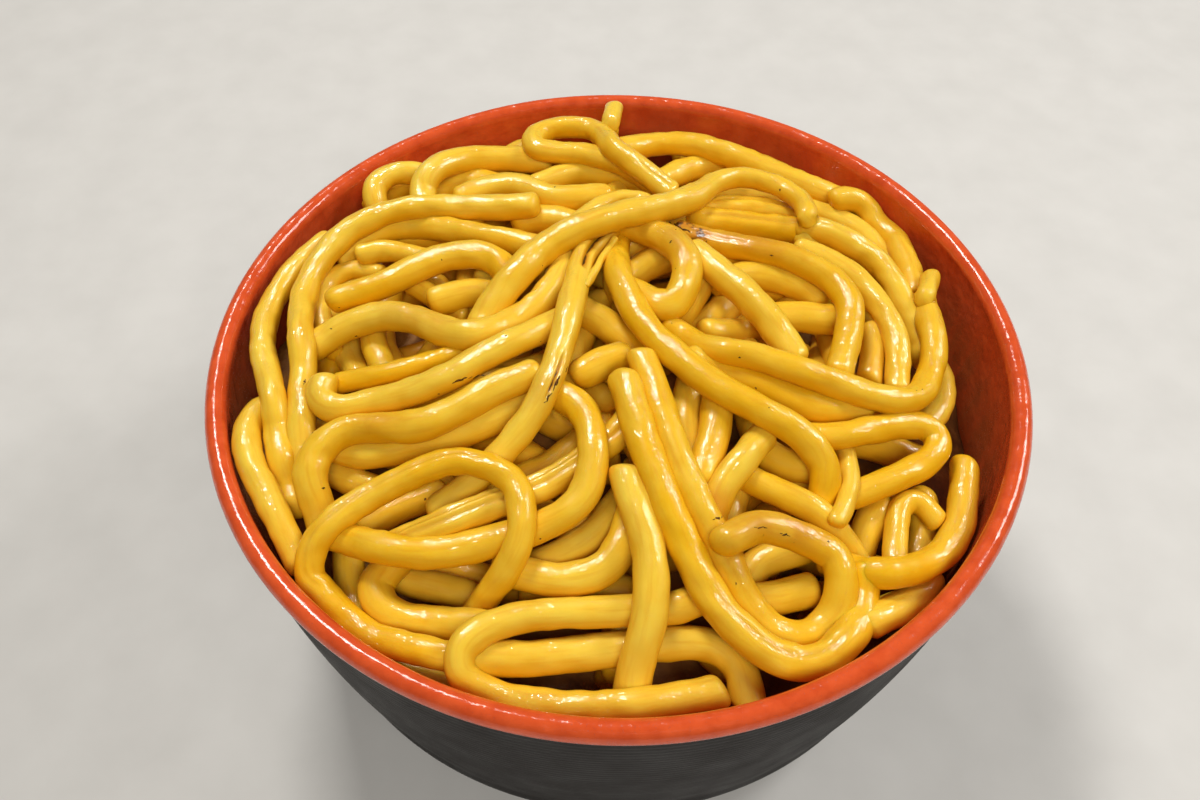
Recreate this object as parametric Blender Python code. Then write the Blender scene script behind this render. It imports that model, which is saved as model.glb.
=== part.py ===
"""A deep round bowl filled with a heap of thick, glossy wheat noodles.

Two solids: the turned bowl and the heap. The heap is a core that fills the bowl, with the
noodles that show on top fused onto it. Lengths are in millimetres down to the last step,
which writes metres. Z is up, X is right, -Y is the front, and the bowl stands on Z = 0.
"""
from math import cos, pi, radians, sin

import bmesh
import bpy
import numpy as np
from mathutils import Vector

METRES = 0.001

# The bowl
RIM_RADIUS = 80.0
BOWL_HEIGHT = 76.0
BEAD_WIDTH = 4.0            # the rounded rim, measured across
BEAD_HEIGHT = 4.4
WALL_TOP_RADIUS = 79.0      # outside of the wall just under the bead
WALL_TAPER = 0.0017         # how fast the wall draws in, by the square of the depth
WALL_THICKNESS = 3.0
WALL_DEPTH = 58.0           # where the wall turns under to the base
BASE_DEPTH = 70.5           # underside of the base
FLOOR_DEPTH = 66.0          # inside of the base
CORNER_OUTSIDE = 10.0
CORNER_INSIDE = 9.0
FOOT_RADIUS = 39.0
FOOT_WIDTH = 4.5
BOWL_SIDES = 48

# The heap's upper surface, as depths and heights from the rim
CROWN = 9.0
EDGE = -5.0
EDGE_RISE_BACK = 4.0
EDGE_DROP_RIGHT = 3.0
HEAP_RADIUS = 72.0
HEAP_ROUNDNESS = 2.2
AXIS_DEPTH = 3.0            # a top noodle's axis lies this far under that surface
CORE_DEPTH = 9.5            # and the bare core this far under it
CORE_EDGE_DEPTH = 21.0
GAP = 0.3                   # between the heap and the bowl
CORE_SIDES = 40
CORE_RINGS = 9

# The noodles: drawn from above as seen from this eye, which is 198 mm from the rim's centre
EYE = np.array((0.0, -131.0, 149.0))
TUBE_SIDES = 6
STEP = 3.0                  # spacing of the points that are laid
LONGEST_SPAN = 13.0         # a tube gets a ring at least this often
TURN_PER_RING = radians(40)
SKIN_SIZE = 1.04            # a six-sided tube is this much larger, to match the round one
END_REACH = 0.35            # a blunt end, in radii
END_SIZE = 0.62
PRESS = 0.86                # noodles press into each other where they cross
LAYING_ROUNDS = 7
SETTLING_STEPS = 30
STIFFNESS = 0.28
PULL_TO_LEVEL = 0.05

# The routes are read from above, in a frame slightly wider than the bowl and behind it
ROUTE_SCALE = 0.979
ROUTE_SHIFT = (0.0, -2.1)

# Each noodle, lowest first: name, its width and its height above the usual level, both at
# even steps along it, and its route over the heap as (x, y) from the frame's middle
NOODLES = (
    ("left_outer", (5.2,), (3, 6, 5, 3), ((-65.5, -17.5), (-68.5, -14.6), (-71.2, -16.5),
                                          (-71.8, -20.5), (-70, -26), (-66.6, -31), (-62.6, -37),
                                          (-56.6, -46))),
    ("left_inner", (4.4,), (-3,), ((-57, -3), (-60.5, 3.5), (-62.5, 10.5), (-62, 16.5),
                                   (-57.5, 19.2), (-51.5, 17.3))),
    ("mid_lump", (6.4,), (-3,), ((-22, 31), (-18, 31.7), (-13.5, 31), (-9, 29))),
    ("back_left_inner", (6.0,), (-3,), ((-43, 44), (-37, 47.3), (-32, 47), (-26, 44))),
    ("back_left_loop", (5.4,), (0, 4, 4, 0), ((-55, 38), (-57.5, 46), (-57.5, 51), (-54, 54),
                                              (-49.5, 53.5), (-45, 51))),
    ("back_left_arch", (5.9,), (-2, 1, -1), ((-45, 41), (-46, 48), (-44.5, 54), (-40, 57.5),
                                             (-33, 58), (-24, 57), (-19, 55.5))),
    ("ring_middle", (6.0,), (-4,), ((19, 37), (25, 39.5), (32, 40.3), (41, 39))),
    ("ring_front", (6.2,), (-3,), ((17, 33), (24, 33.3), (32, 33.6), (42, 35))),
    ("back_right_short", (6.0,), (-3,), ((40, 51), (46, 53), (53, 52))),
    ("back_sweep", (5.8,), (-2, 1, 0), ((-4, 60), (2, 63.3), (9, 66.3), (17, 67.6), (24, 65.2),
                                        (32, 61.4), (42, 56.6), (53, 52.8))),
    ("right_back_inner", (4.8,), (-2,), ((42, 45), (46.5, 44.3), (51.3, 43.2), (54.5, 41),
                                         (57, 38), (59, 33), (60.3, 28), (61.5, 22))),
    ("right_back_outer", (5.4,), (-1, 0), ((51.5, 53.5), (54.8, 55.6), (58.9, 54.6), (61.5, 50),
                                           (63.6, 43.6), (64.6, 36.3), (65, 30.3), (64.6, 24))),
    ("back_row", (5.8,), (-3,), ((-19, 45.3), (-12, 49.3), (-6, 49.6), (-1, 48.8), (4, 45.8),
                                 (9, 37.3))),
    ("back_hairpin", (5.2,), (-1, -1, 0, 2, 4, 3, 1, -1), ((11, 40), (6, 47.5), (2, 52), (-3, 56),
                                                           (-9, 58.8), (-15.5, 59.8),
                                                           (-20.3, 61.5), (-22, 65.5),
                                                           (-20.8, 70), (-17, 72.8), (-11, 73.4),
                                                           (-6, 70), (-2.5, 62.5), (2.5, 55),
                                                           (10.5, 43.5))),
    ("upright_tip", (4.4,), (0, 5, 9), ((-4.1, 66), (-3.7, 75), (-2.9, 85.5))),
    ("back_wave", (6.0,), (-1,), ((-36, 41), (-30, 44.5), (-24.5, 45), (-20, 42.5), (-16, 40),
                                  (-11, 39.5), (-5, 40))),
    ("back_crescent", (3.8,), (-1,), ((-10, 30), (-7, 34.5), (-3.5, 38), (0.5, 40), (5, 39))),
    ("under_arch", (4.8,), (-2,), ((-55.5, 24), (-51, 24.4), (-46, 22.5), (-40, 19.5))),
    ("second_row", (5.4,), (-1,), ((-60, 23.4), (-56, 29.4), (-50, 31.9), (-44, 31.4),
                                   (-37, 29.4), (-30, 26.7), (-23, 24.1), (-15, 20.9))),
    ("left_rim", (5.1,), (1, 3, 1), ((-65.5, 30), (-70.8, 23), (-73.4, 16), (-74.3, 8), (-73, 0),
                                     (-69.3, -9), (-66, -18), (-63.8, -25), (-59, -36))),
    ("left_sweep", (5.4,), (0, 1, 1, 0, -1), ((-20, 37), (-26, 36.6), (-34, 37.2), (-42, 38.6),
                                              (-50, 38.8), (-56, 36.6), (-61, 32.5),
                                              (-64.8, 25.5), (-66.8, 16), (-65.8, 5), (-62.8, -6),
                                              (-61.4, -15), (-59, -25), (-57, -31))),
    ("left_arch", (5.8,), (1, 1, 0), ((-58.5, 10.8), (-50, 13.3), (-43.5, 17.1), (-37, 20.2),
                                      (-31, 20.4), (-26, 18), (-22, 12))),
    ("ball", (6.4,), (-3,), ((1.4, -8), (-1.4, -9.3), (-4, -10.8), (-6, -12.2))),
    ("arc_lump", (5.6,), (-3,), ((21, 13), (26, 16), (31, 16.3), (36, 15), (41, 12))),
    ("arc_under", (6.2,), (-4,), ((30, 4.5), (36, 6), (42, 6.7), (47, 9))),
    ("right_pale", (5.4,), (-3,), ((64.4, 5), (66.4, -1), (65.4, -7), (61.4, -13))),
    ("right_under", (5.8,), (-1,), ((14, -8.5), (20, -11), (27, -12.5), (33, -14.5), (39, -15.7),
                                    (47, -14))),
    ("right_short", (5.0,), (-3,), ((52, 6.5), (51.3, 1), (49.7, -6))),
    ("middle_arc", (5.6,), (-1,), ((41, 33), (45, 32.5), (50.3, 30.6), (54.6, 27.8), (57.1, 23.8),
                                   (58.7, 18.4), (59.6, 12.8))),
    ("inner_arc", (5.0,), (1, 0), ((39, 27.5), (43.5, 26.5), (48, 24.3), (51.6, 20.8), (54, 16.5),
                                   (56, 12.2), (57, 7.2), (57, 2.3), (55.5, -7))),
    ("right_ring", (5.6,), (0, 1, 1), ((41, 36.5), (46, 36.7), (50.5, 34.8), (55, 32.3),
                                       (58, 28.8), (59.8, 23.5), (61, 18), (62.5, 13),
                                       (63.7, 8.5), (63.3, 4))),
    ("slanted", (6.0,), (1,), ((15.5, 22), (20, 16.5), (24.5, 11.5), (29, 5.5), (34.5, -4.5))),
    ("curl", (6.2,), (-2, 1, 0), ((0, 30.5), (6, 27.5), (10.5, 24.7), (13.3, 20.3), (13.7, 15),
                                  (12.3, 8.5), (9, 5), (2, 8.5))),
    ("mid_wave", (6.0,), (0,), ((-61, -1.5), (-57, 1.8), (-52, 3.8), (-46, 4.2), (-40, 2),
                                (-33, -2), (-27, -2.7), (-21, 0), (-16, 5), (-12.5, 12),
                                (-10, 21))),
    ("short_cut", (4.2,), (2,), ((-54, -11.5), (-47, -10.8), (-39, -9.4), (-31, -7.2))),
    ("speckled", (5.6,), (0,), ((-57.5, -11.1), (-57, -15.1), (-53, -17.6), (-46, -16.8),
                                (-38, -15.1), (-31, -11.9), (-24, -7.1), (-12, -0.1))),
    ("under_hook", (5.4,), (-1,), ((-51, -26.5), (-45, -28), (-37, -27), (-30, -25.6),
                                   (-21, -21.8), (-15, -17))),
    ("hook", (6.0,), (1, 0, 0), ((-16.5, -12.8), (-23, -16), (-29, -19.7), (-36, -22.8),
                                 (-44, -22.6), (-50.5, -22.4), (-55.3, -25.4), (-56.5, -31),
                                 (-52, -41))),
    ("flat_diagonal", (5.2,), (-1, 1, 1, -1), ((-3.5, 27), (-7.3, 20), (-8.8, 11), (-10, 1),
                                               (-11.4, -8), (-14, -18), (-18, -26), (-25, -34.5),
                                               (-31, -39))),
    ("mid_front", (5.4,), (-3,), ((-18, -51), (-9, -47.5), (-3, -43.5), (2, -37))),
    ("smile", (6.0,), (-3,), ((4, -38), (2, -45), (-2, -50), (-9, -51.6), (-18, -50))),
    ("streaky_pair", (5.4,), (-2,), ((-38, -45), (-30, -42), (-20, -38.4), (-12, -35.3),
                                     (-4, -29.4), (0.5, -25.3), (4, -20))),
    ("centre_hook", (5.6,), (0, 1, 0), ((-10.2, -17.6), (-6.6, -20.2), (-4.4, -25), (-3.9, -32),
                                        (-6, -38.3), (-12, -42.6), (-20, -45), (-30, -46.8),
                                        (-40, -45.6), (-51, -42))),
    ("inner_hairpin", (6.2,), (-1,), ((-37, -47), (-41, -51.5), (-39.5, -55), (-34.5, -57.5),
                                      (-22, -59))),
    ("big_loop", (5.0,), (0, 1, 2, 1, 0, -1), ((-25, -60.5), (-22.5, -56), (-17.5, -49),
                                               (-15.9, -42), (-17.8, -35), (-24, -31.4),
                                               (-31, -30.8), (-41, -34.6), (-50.3, -39.8),
                                               (-54.2, -45.5), (-51.4, -54), (-42, -59.5),
                                               (-26, -63.5))),
    ("inner_front", (6.0,), (-1,), ((-23, -63.5), (-12, -63.5), (-2, -62.3), (9, -60.6),
                                    (17, -60.3), (22, -63), (24.5, -69))),
    ("front_loop", (5.4,), (0,), ((18, -52), (11, -55), (3, -56), (-7, -56.7), (-16, -57.6),
                                  (-22.8, -60), (-25.4, -64), (-22, -68.2), (-12, -70.2),
                                  (0, -70.2), (10, -68.6), (18.4, -66.8))),
    ("stub_row_two", (6.0,), (-2,), ((19, -16), (18, -24), (15.5, -33))),
    ("short_diagonal", (5.4,), (0,), ((27.5, -23), (23, -29), (19, -35), (17, -41))),
    ("loop_arch", (5.0,), (-1, 0), ((22, -31), (28, -33.5), (34, -35.2), (39, -38), (43.5, -43),
                                    (44.8, -48))),
    ("knot_mid", (6.2,), (-3,), ((58, -30), (58, -36), (56, -41))),
    ("knot_arch", (4.4,), (-1, 1, 0), ((60.6, -32.2), (57.1, -29.8), (53.6, -31.7), (52.2, -36.2),
                                       (51.1, -44.2))),
    ("low_right", (5.6,), (-3,), ((46, -53), (52, -49.5), (59, -44))),
    ("right_curl", (5.4,), (2, 3, 2, 0), ((68.8, -20), (67.6, -26), (65.6, -32.6), (60.7, -39),
                                          (53, -43.3), (45, -45), (38, -44.2))),
    ("right_hairpin", (5.3,), (-1, 1, 1, -1), ((35, -22.3), (42, -20.8), (50, -17.3),
                                               (57.6, -14.3), (62.2, -14.1), (62.9, -17.4),
                                               (59.6, -21.8), (52, -27.2), (44, -32))),
    ("thin_edge", (3.6,), (-1,), ((42.4, -22), (43.6, -27), (42.6, -33), (40.6, -37))),
    ("right_level", (5.4,), (0, 1, 1, 2, 2, 1), ((10, -0.8), (16, -4.9), (25, -5.7), (35, -7.8),
                                                 (45, -9.8), (54, -10), (60.6, -6.4), (64.4, 1),
                                                 (66.6, 9.5), (66.4, 21))),
    ("right_spike", (3.9,), (4, 2), ((70.4, 31.5), (69, 27.5), (67.5, 24), (65.8, 18.5),
                                     (64.5, 12))),
    ("long_s", (5.6,), (-2, 1, 2, 1), ((-1, 25), (-0.7, 15), (1.4, 8), (5, 0), (10.5, -7),
                                       (18, -13.5), (27, -18.2), (34, -21.7), (38.5, -27.5),
                                       (37.5, -36))),
    ("front_upright", (6.0,), (1, 2, 1), ((2, -33), (4, -39), (6.5, -47), (6.7, -56), (4.5, -65),
                                          (3.8, -71), (3.6, -74.5))),
    ("long_right", (5.6,), (1, 2, 2, 2), ((4.6, -8.6), (6.8, -15), (9.6, -24), (12.8, -33),
                                          (18, -43), (24, -53.5), (30, -57.3), (36, -56),
                                          (40.3, -50.5), (40, -44), (34, -41.5), (26, -40.5),
                                          (20, -43.5))),
    ("long_left", (6.0,), (2, 2, 2, 3), ((1.6, -14.5), (3.6, -22), (6.7, -31), (11, -41.5),
                                         (17, -52.5), (24, -58.7), (32, -61.2), (39, -58.7),
                                         (44, -52.5), (45, -46))),
    ("long_arch", (6.4, 6.4, 5.8, 4.6, 4.2), (0, 2, 2, 3, 1), ((-27, -1.5), (-25.5, 4), (-22, 12),
                                  (-16.5, 21), (-9, 28), (0, 33.3), (9, 37), (16, 42), (21, 49),
                                  (27, 53.6), (33.5, 53.8), (38.5, 51.1), (41.5, 47), (42, 42),
                                  (41.3, 36), (40, 29))),
    ("browned_arc", (5.5,), (1, 2, 1), ((13, 28), (19, 25.8), (28, 24.8), (35, 24.2),
                                        (40.2, 22.4), (44.5, 19.6), (47.2, 15.6), (47.8, 11.5),
                                        (47.2, 7.3), (46.2, 2.9), (43.5, -6))),
)

# Ends that lie under every noodle they meet, whichever of the two is listed first
TUCKED_POINTS = 3
TUCKED_STARTS = ("left_inner", "second_row", "back_row", "upright_tip", "mid_wave",
                 "centre_hook", "inner_hairpin", "big_loop", "loop_arch", "right_level",
                 "thin_edge", "right_back_inner", "long_arch", "long_s", "browned_arc")
TUCKED_ENDS = ("left_rim", "left_sweep", "left_outer", "right_spike", "right_curl",
               "right_hairpin", "long_s", "long_left", "front_upright", "inner_front",
               "loop_arch", "long_arch", "browned_arc")

BOWL_COLOUR = (0.018, 0.015, 0.015, 1)
NOODLE_COLOUR = (0.72, 0.38, 0.055, 1)


def outside_radius(depth):
    """The wall's outer radius at a depth below the rim."""
    return WALL_TOP_RADIUS - WALL_TAPER * depth ** 2


def inside_radius(depth):
    """The bowl's inner radius at a depth below the rim, down to the rounded corner."""
    return outside_radius(depth) - WALL_THICKNESS


def reference_height(x, y):
    """Height above the rim of a top noodle's axis on the smooth form of the heap."""
    reach = np.hypot(x, y) / HEAP_RADIUS
    edge = EDGE + EDGE_RISE_BACK * y / HEAP_RADIUS - EDGE_DROP_RIGHT * x / HEAP_RADIUS
    return CROWN + (edge - CROWN) * reach ** HEAP_ROUNDNESS - AXIS_DEPTH


def arc(radius, depth, across, along, start, end, count):
    """Points of an elliptical arc in a turned profile, as (radius, depth)."""
    angles = (radians(start + (end - start) * k / (count - 1)) for k in range(count))
    return [(radius + across * cos(a), depth - along * sin(a)) for a in angles]


def bowl_profile():
    """The bowl's section from the middle of its inside, over the rim, to the middle below."""
    inner_corner = inside_radius(WALL_DEPTH) - CORNER_INSIDE
    outer_corner = outside_radius(WALL_DEPTH) - CORNER_OUTSIDE
    bead_middle = RIM_RADIUS - BEAD_WIDTH / 2
    inside = [(0.0, FLOOR_DEPTH)]
    inside += arc(inner_corner, FLOOR_DEPTH - CORNER_INSIDE, CORNER_INSIDE, CORNER_INSIDE,
                  -90, -6, 4)
    inside += [(inside_radius(depth), depth) for depth in (42.0, 24.0, 9.0)]
    bead = arc(bead_middle, BEAD_HEIGHT / 2, BEAD_WIDTH / 2, BEAD_HEIGHT / 2, 190, -30, 8)
    outside = [(outside_radius(depth), depth) for depth in (BEAD_HEIGHT, 20.0, 38.0)]
    outside += arc(outer_corner, BASE_DEPTH - CORNER_OUTSIDE, CORNER_OUTSIDE, CORNER_OUTSIDE,
                   8, -84, 4)
    foot = [(FOOT_RADIUS + 0.8, BASE_DEPTH), (FOOT_RADIUS, BOWL_HEIGHT),
            (FOOT_RADIUS - FOOT_WIDTH, BOWL_HEIGHT), (FOOT_RADIUS - FOOT_WIDTH - 0.8, BASE_DEPTH),
            (0.0, BASE_DEPTH)]
    return inside + bead + outside + foot


def turned(name, profile, sides):
    """A closed solid of revolution from a profile of (radius, depth) that ends on the axis."""
    mesh = bpy.data.meshes.new(name)
    shape = bmesh.new()
    rings = []
    for radius, depth in profile:
        count = sides if radius > 0 else 1
        rings.append([shape.verts.new((radius * cos(2 * pi * k / sides),
                                       radius * sin(2 * pi * k / sides),
                                       BOWL_HEIGHT - depth)) for k in range(count)])
    for inner, outer in zip(rings, rings[1:]):
        for k in range(sides):
            corners = [inner[k % len(inner)], outer[k % len(outer)],
                       outer[(k + 1) % len(outer)], inner[(k + 1) % len(inner)]]
            shape.faces.new(dict.fromkeys(corners))
    bmesh.ops.recalc_face_normals(shape, faces=shape.faces)
    bmesh.ops.triangulate(shape, faces=shape.faces)
    shape.to_mesh(mesh)
    shape.free()
    return mesh


def smooth_route(corners):
    """Plan points every STEP along a smooth curve through a route's points."""
    p = np.array(corners, float)
    p = np.vstack((2 * p[0] - p[1], p, 2 * p[-1] - p[-2]))
    fine = []
    for a, b, c, d in zip(p, p[1:], p[2:], p[3:]):
        t = np.linspace(0, 1, 24, endpoint=False)[:, None]
        fine.append(0.5 * (2 * b + (c - a) * t + (2 * a - 5 * b + 4 * c - d) * t ** 2
                           + (3 * b - a - 3 * c + d) * t ** 3))
    fine = np.vstack(fine + [p[-2:-1]])
    along = np.append(0, np.cumsum(np.linalg.norm(np.diff(fine, axis=0), axis=1)))
    stops = np.linspace(0, along[-1], max(3, round(along[-1] / STEP) + 1))
    return np.column_stack([np.interp(stops, along, fine[:, k]) for k in (0, 1)])


def spread(values, count):
    """Values at even steps along a noodle, spread over its points."""
    return np.interp(np.linspace(0, 1, count), np.linspace(0, 1, len(values)), values)


def in_sight(plan, height):
    """Slides plan points along their lines of sight from the reference surface to a height."""
    usual = reference_height(plan[:, 0], plan[:, 1])
    share = (height - usual) / (EYE[2] - usual)
    return plan + (EYE[:2] - plan) * share[:, None]


def inside_wall(place, height, radius):
    """Draws points in where a noodle of that radius would touch the bowl."""
    reach = np.hypot(place[:, 0], place[:, 1])
    limit = inside_radius(np.maximum(-height, BEAD_HEIGHT)) - radius - GAP
    return place * np.minimum(1, limit / np.maximum(reach, 1))[:, None]


def tucked_points(noodles, sizes):
    """Which points belong to the ends that lie under every noodle they meet."""
    flags = [np.zeros(size, bool) for size in sizes]
    for (name, _, _, _), flag in zip(noodles, flags):
        if name in TUCKED_STARTS:
            flag[:TUCKED_POINTS] = True
        if name in TUCKED_ENDS:
            flag[-TUCKED_POINTS:] = True
    return np.concatenate(flags)


def crossings(place, radius, noodle, along, tucked):
    """Pairs of points (under, over) whose noodles cross, and the height that parts them."""
    apart = np.hypot(place[:, None, 0] - place[None, :, 0], place[:, None, 1] - place[None, :, 1])
    room = PRESS * (radius[:, None] + radius[None, :])
    own = noodle[:, None] == noodle[None, :]
    far_along = np.abs(along[:, None] - along[None, :]) > 2.5 * room
    first, second = np.nonzero(np.triu((apart < room) & (~own | far_along), 1))
    swapped = tucked[second] & ~tucked[first]
    under = np.where(swapped, second, first)
    over = np.where(swapped, first, second)
    return under, over, np.sqrt(room[under, over] ** 2 - apart[under, over] ** 2)


def lay(noodles):
    """Each noodle as rows of axis point and radius, resting on the noodles before it."""
    routes = [smooth_route(route) for _, _, _, route in noodles]
    sizes = [len(route) for route in routes]
    plan = np.vstack(routes) * ROUTE_SCALE + ROUTE_SHIFT
    noodle = np.repeat(np.arange(len(noodles)), sizes)
    along = np.concatenate([STEP * np.arange(size) for size in sizes])
    radius = np.concatenate([spread(widths, size) / 2
                             for size, (_, widths, _, _) in zip(sizes, noodles)])
    rise = np.concatenate([spread(rises, size) for size, (_, _, rises, _) in zip(sizes, noodles)])
    before = np.where(along > 0, np.arange(len(plan)) - 1, np.arange(len(plan)))
    after = np.append(before[1:] + 1, len(plan) - 1)
    after = np.where(np.append(along[1:], 0) > 0, after, np.arange(len(plan)))
    tucked = tucked_points(noodles, sizes)
    level = reference_height(plan[:, 0], plan[:, 1]) + rise
    height = level.copy()
    for _ in range(LAYING_ROUNDS):
        place = inside_wall(in_sight(plan, height), height, radius)
        under, over, needed = crossings(place, radius, noodle, along, tucked)
        for _ in range(SETTLING_STEPS):
            push = np.maximum(needed - (height[over] - height[under]), 0) / 2
            up = np.zeros(len(plan))
            down = np.zeros(len(plan))
            np.maximum.at(up, over, push)
            np.maximum.at(down, under, push)
            height = height + up - down
            height += STIFFNESS * (height[before] + height[after] - 2 * height)
            height += PULL_TO_LEVEL * (level - height)
    place = inside_wall(in_sight(plan, height), height, radius)
    axis = np.column_stack((place, height, radius))
    return np.split(axis, np.cumsum(sizes)[:-1])


def rings_along(axis):
    """Fewer points of an axis: one at each LONGEST_SPAN or TURN_PER_RING, and both ends."""
    kept = [0]
    spent = 0.0
    for k in range(1, len(axis) - 1):
        before = axis[k, :3] - axis[k - 1, :3]
        after = axis[k + 1, :3] - axis[k, :3]
        turn = Vector(before).angle(Vector(after))
        spent += np.linalg.norm(before) / LONGEST_SPAN + turn / TURN_PER_RING
        if spent >= 1 and len(axis) - 1 - k > 1:
            kept.append(k)
            spent = 0.0
    return axis[kept + [len(axis) - 1]]


def tube(name, axis):
    """A noodle as a closed tube of a few sides with blunt ends."""
    mesh = bpy.data.meshes.new(name)
    shape = bmesh.new()
    kept = rings_along(axis).tolist()
    points = [Vector((x, y, z + BOWL_HEIGHT)) for x, y, z, _ in kept]
    radii = [radius for _, _, _, radius in kept]
    sizes = [radii[0] * END_SIZE, *(radius * SKIN_SIZE for radius in radii), radii[-1] * END_SIZE]
    start = points[0] - (points[1] - points[0]).normalized() * radii[0] * END_REACH
    end = points[-1] + (points[-1] - points[-2]).normalized() * radii[-1] * END_REACH
    points = [start] + points + [end]
    rings = []
    side = None
    for k, point in enumerate(points):
        ahead = (points[min(k + 1, len(points) - 1)] - points[max(k - 1, 0)]).normalized()
        side = (side or ahead.cross(Vector((0, 0, 1)))) - ahead * (side or Vector()).dot(ahead)
        side.normalize()
        up = side.cross(ahead)
        turns = (2 * pi * (j + 0.5) / TUBE_SIDES for j in range(TUBE_SIDES))
        rings.append([shape.verts.new(point + sizes[k] * (cos(a) * side + sin(a) * up))
                      for a in turns])
    for first, second in zip(rings, rings[1:]):
        for j in range(TUBE_SIDES):
            k = (j + 1) % TUBE_SIDES
            shape.faces.new((first[j], first[k], second[k], second[j]))
    shape.faces.new(reversed(rings[0]))
    shape.faces.new(rings[-1])
    bmesh.ops.recalc_face_normals(shape, faces=shape.faces)
    shape.to_mesh(mesh)
    shape.free()
    return mesh


def core_mesh():
    """The heap's core: it fills the bowl, with a low dome on top under the noodles."""
    corner = inside_radius(WALL_DEPTH) - CORNER_INSIDE
    skin = [(0.0, FLOOR_DEPTH - GAP)]
    skin += arc(corner - GAP, FLOOR_DEPTH - CORNER_INSIDE, CORNER_INSIDE - GAP,
                CORNER_INSIDE - GAP, -90, -6, 4)
    skin += [(inside_radius(depth) - 2 * GAP, depth) for depth in (42.0, CORE_EDGE_DEPTH + 4)]
    mesh = turned("core", skin + core_dome(), CORE_SIDES)
    lift_dome(mesh)
    return mesh


def core_dome():
    """The dome's rings from the edge to the middle; lift_dome sets their heights."""
    widest = inside_radius(CORE_EDGE_DEPTH) - 2 * GAP
    rings = [(widest * (1 - k / CORE_RINGS), CORE_EDGE_DEPTH) for k in range(CORE_RINGS)]
    return rings + [(0.0, CORE_EDGE_DEPTH)]


def lift_dome(mesh):
    """Lifts the core's top to its depth under the heap's surface."""
    floor = BOWL_HEIGHT - CORE_EDGE_DEPTH
    for vertex in mesh.vertices:
        x, y, z = vertex.co
        if abs(z - floor) < 0.01:
            top = BOWL_HEIGHT + float(reference_height(x, y)) + AXIS_DEPTH - CORE_DEPTH
            vertex.co.z = max(floor, top)


def heap_mesh():
    """The core and the noodles fused into one closed solid."""
    parts = bpy.data.collections.new("fused_noodles")
    for (name, _, _, _), axis in zip(NOODLES, lay(NOODLES)):
        parts.objects.link(bpy.data.objects.new(name, tube(name, axis)))
    heap = bpy.data.objects.new("fusing", core_mesh())
    bpy.context.scene.collection.objects.link(heap)
    bpy.context.scene.collection.children.link(parts)
    fuse = heap.modifiers.new("fuse", "BOOLEAN")
    fuse.operation = "UNION"
    fuse.operand_type = "COLLECTION"
    fuse.collection = parts
    fuse.solver = "MANIFOLD"
    seen = heap.evaluated_get(bpy.context.evaluated_depsgraph_get())
    mesh = bpy.data.meshes.new_from_object(seen)
    for piece in list(parts.objects) + [heap]:
        bpy.data.objects.remove(piece)
    bpy.data.collections.remove(parts)
    keep_outer_body(mesh)
    return mesh


def keep_outer_body(mesh):
    """Drops sealed hollows and loose scraps: only the largest connected body stays."""
    shape = bmesh.new()
    shape.from_mesh(mesh)
    bmesh.ops.triangulate(shape, faces=shape.faces)
    bmesh.ops.dissolve_degenerate(shape, dist=0.01, edges=shape.edges)
    bmesh.ops.triangulate(shape, faces=shape.faces)
    bodies = []
    waiting = set(shape.verts)
    while waiting:
        body = [waiting.pop()]
        for vertex in body:
            for edge in vertex.link_edges:
                other = edge.other_vert(vertex)
                if other in waiting:
                    waiting.remove(other)
                    body.append(other)
        bodies.append(body)
    bodies.sort(key=len)
    loose = [vertex for body in bodies[:-1] for vertex in body]
    bmesh.ops.delete(shape, geom=loose, context="VERTS")
    shape.to_mesh(mesh)
    shape.free()


def material(name, colour, roughness):
    made = bpy.data.materials.new(name)
    made.use_nodes = True
    shader = made.node_tree.nodes["Principled BSDF"]
    shader.inputs["Base Color"].default_value = colour
    shader.inputs["Roughness"].default_value = roughness
    shader.inputs["Metallic"].default_value = 0.0
    return made


def add_node(name, mesh, finish):
    """Puts a mesh in millimetres into the scene in metres, as one named object."""
    mesh.name = name
    for vertex in mesh.vertices:
        vertex.co *= METRES
    mesh.materials.clear()
    mesh.materials.append(finish)
    mesh.shade_smooth()
    mesh.set_sharp_from_angle(angle=radians(35))
    node = bpy.data.objects.new(name, mesh)
    bpy.context.scene.collection.objects.link(node)
    return node


def main():
    for thing in list(bpy.data.objects):
        bpy.data.objects.remove(thing)
    add_node("bowl", turned("bowl", bowl_profile(), BOWL_SIDES),
             material("glazed_bowl", BOWL_COLOUR, 0.35))
    add_node("noodle_heap", heap_mesh(), material("noodles", NOODLE_COLOUR, 0.3))


main()
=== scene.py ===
"""Looks for a round lacquered bowl heaped with thick, glossy wheat noodles.

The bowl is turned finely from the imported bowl's own section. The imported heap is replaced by
smooth noodles that lie where its noodles lie, with more noodles below them and a core under
all. Places are in millimetres, with z measured from the rim, up to each mesh, which is in
metres with z measured from the foot.
"""
from math import cos, pi, radians, sin

import bpy
import numpy as np
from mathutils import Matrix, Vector
from mathutils.bvhtree import BVHTree


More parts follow.
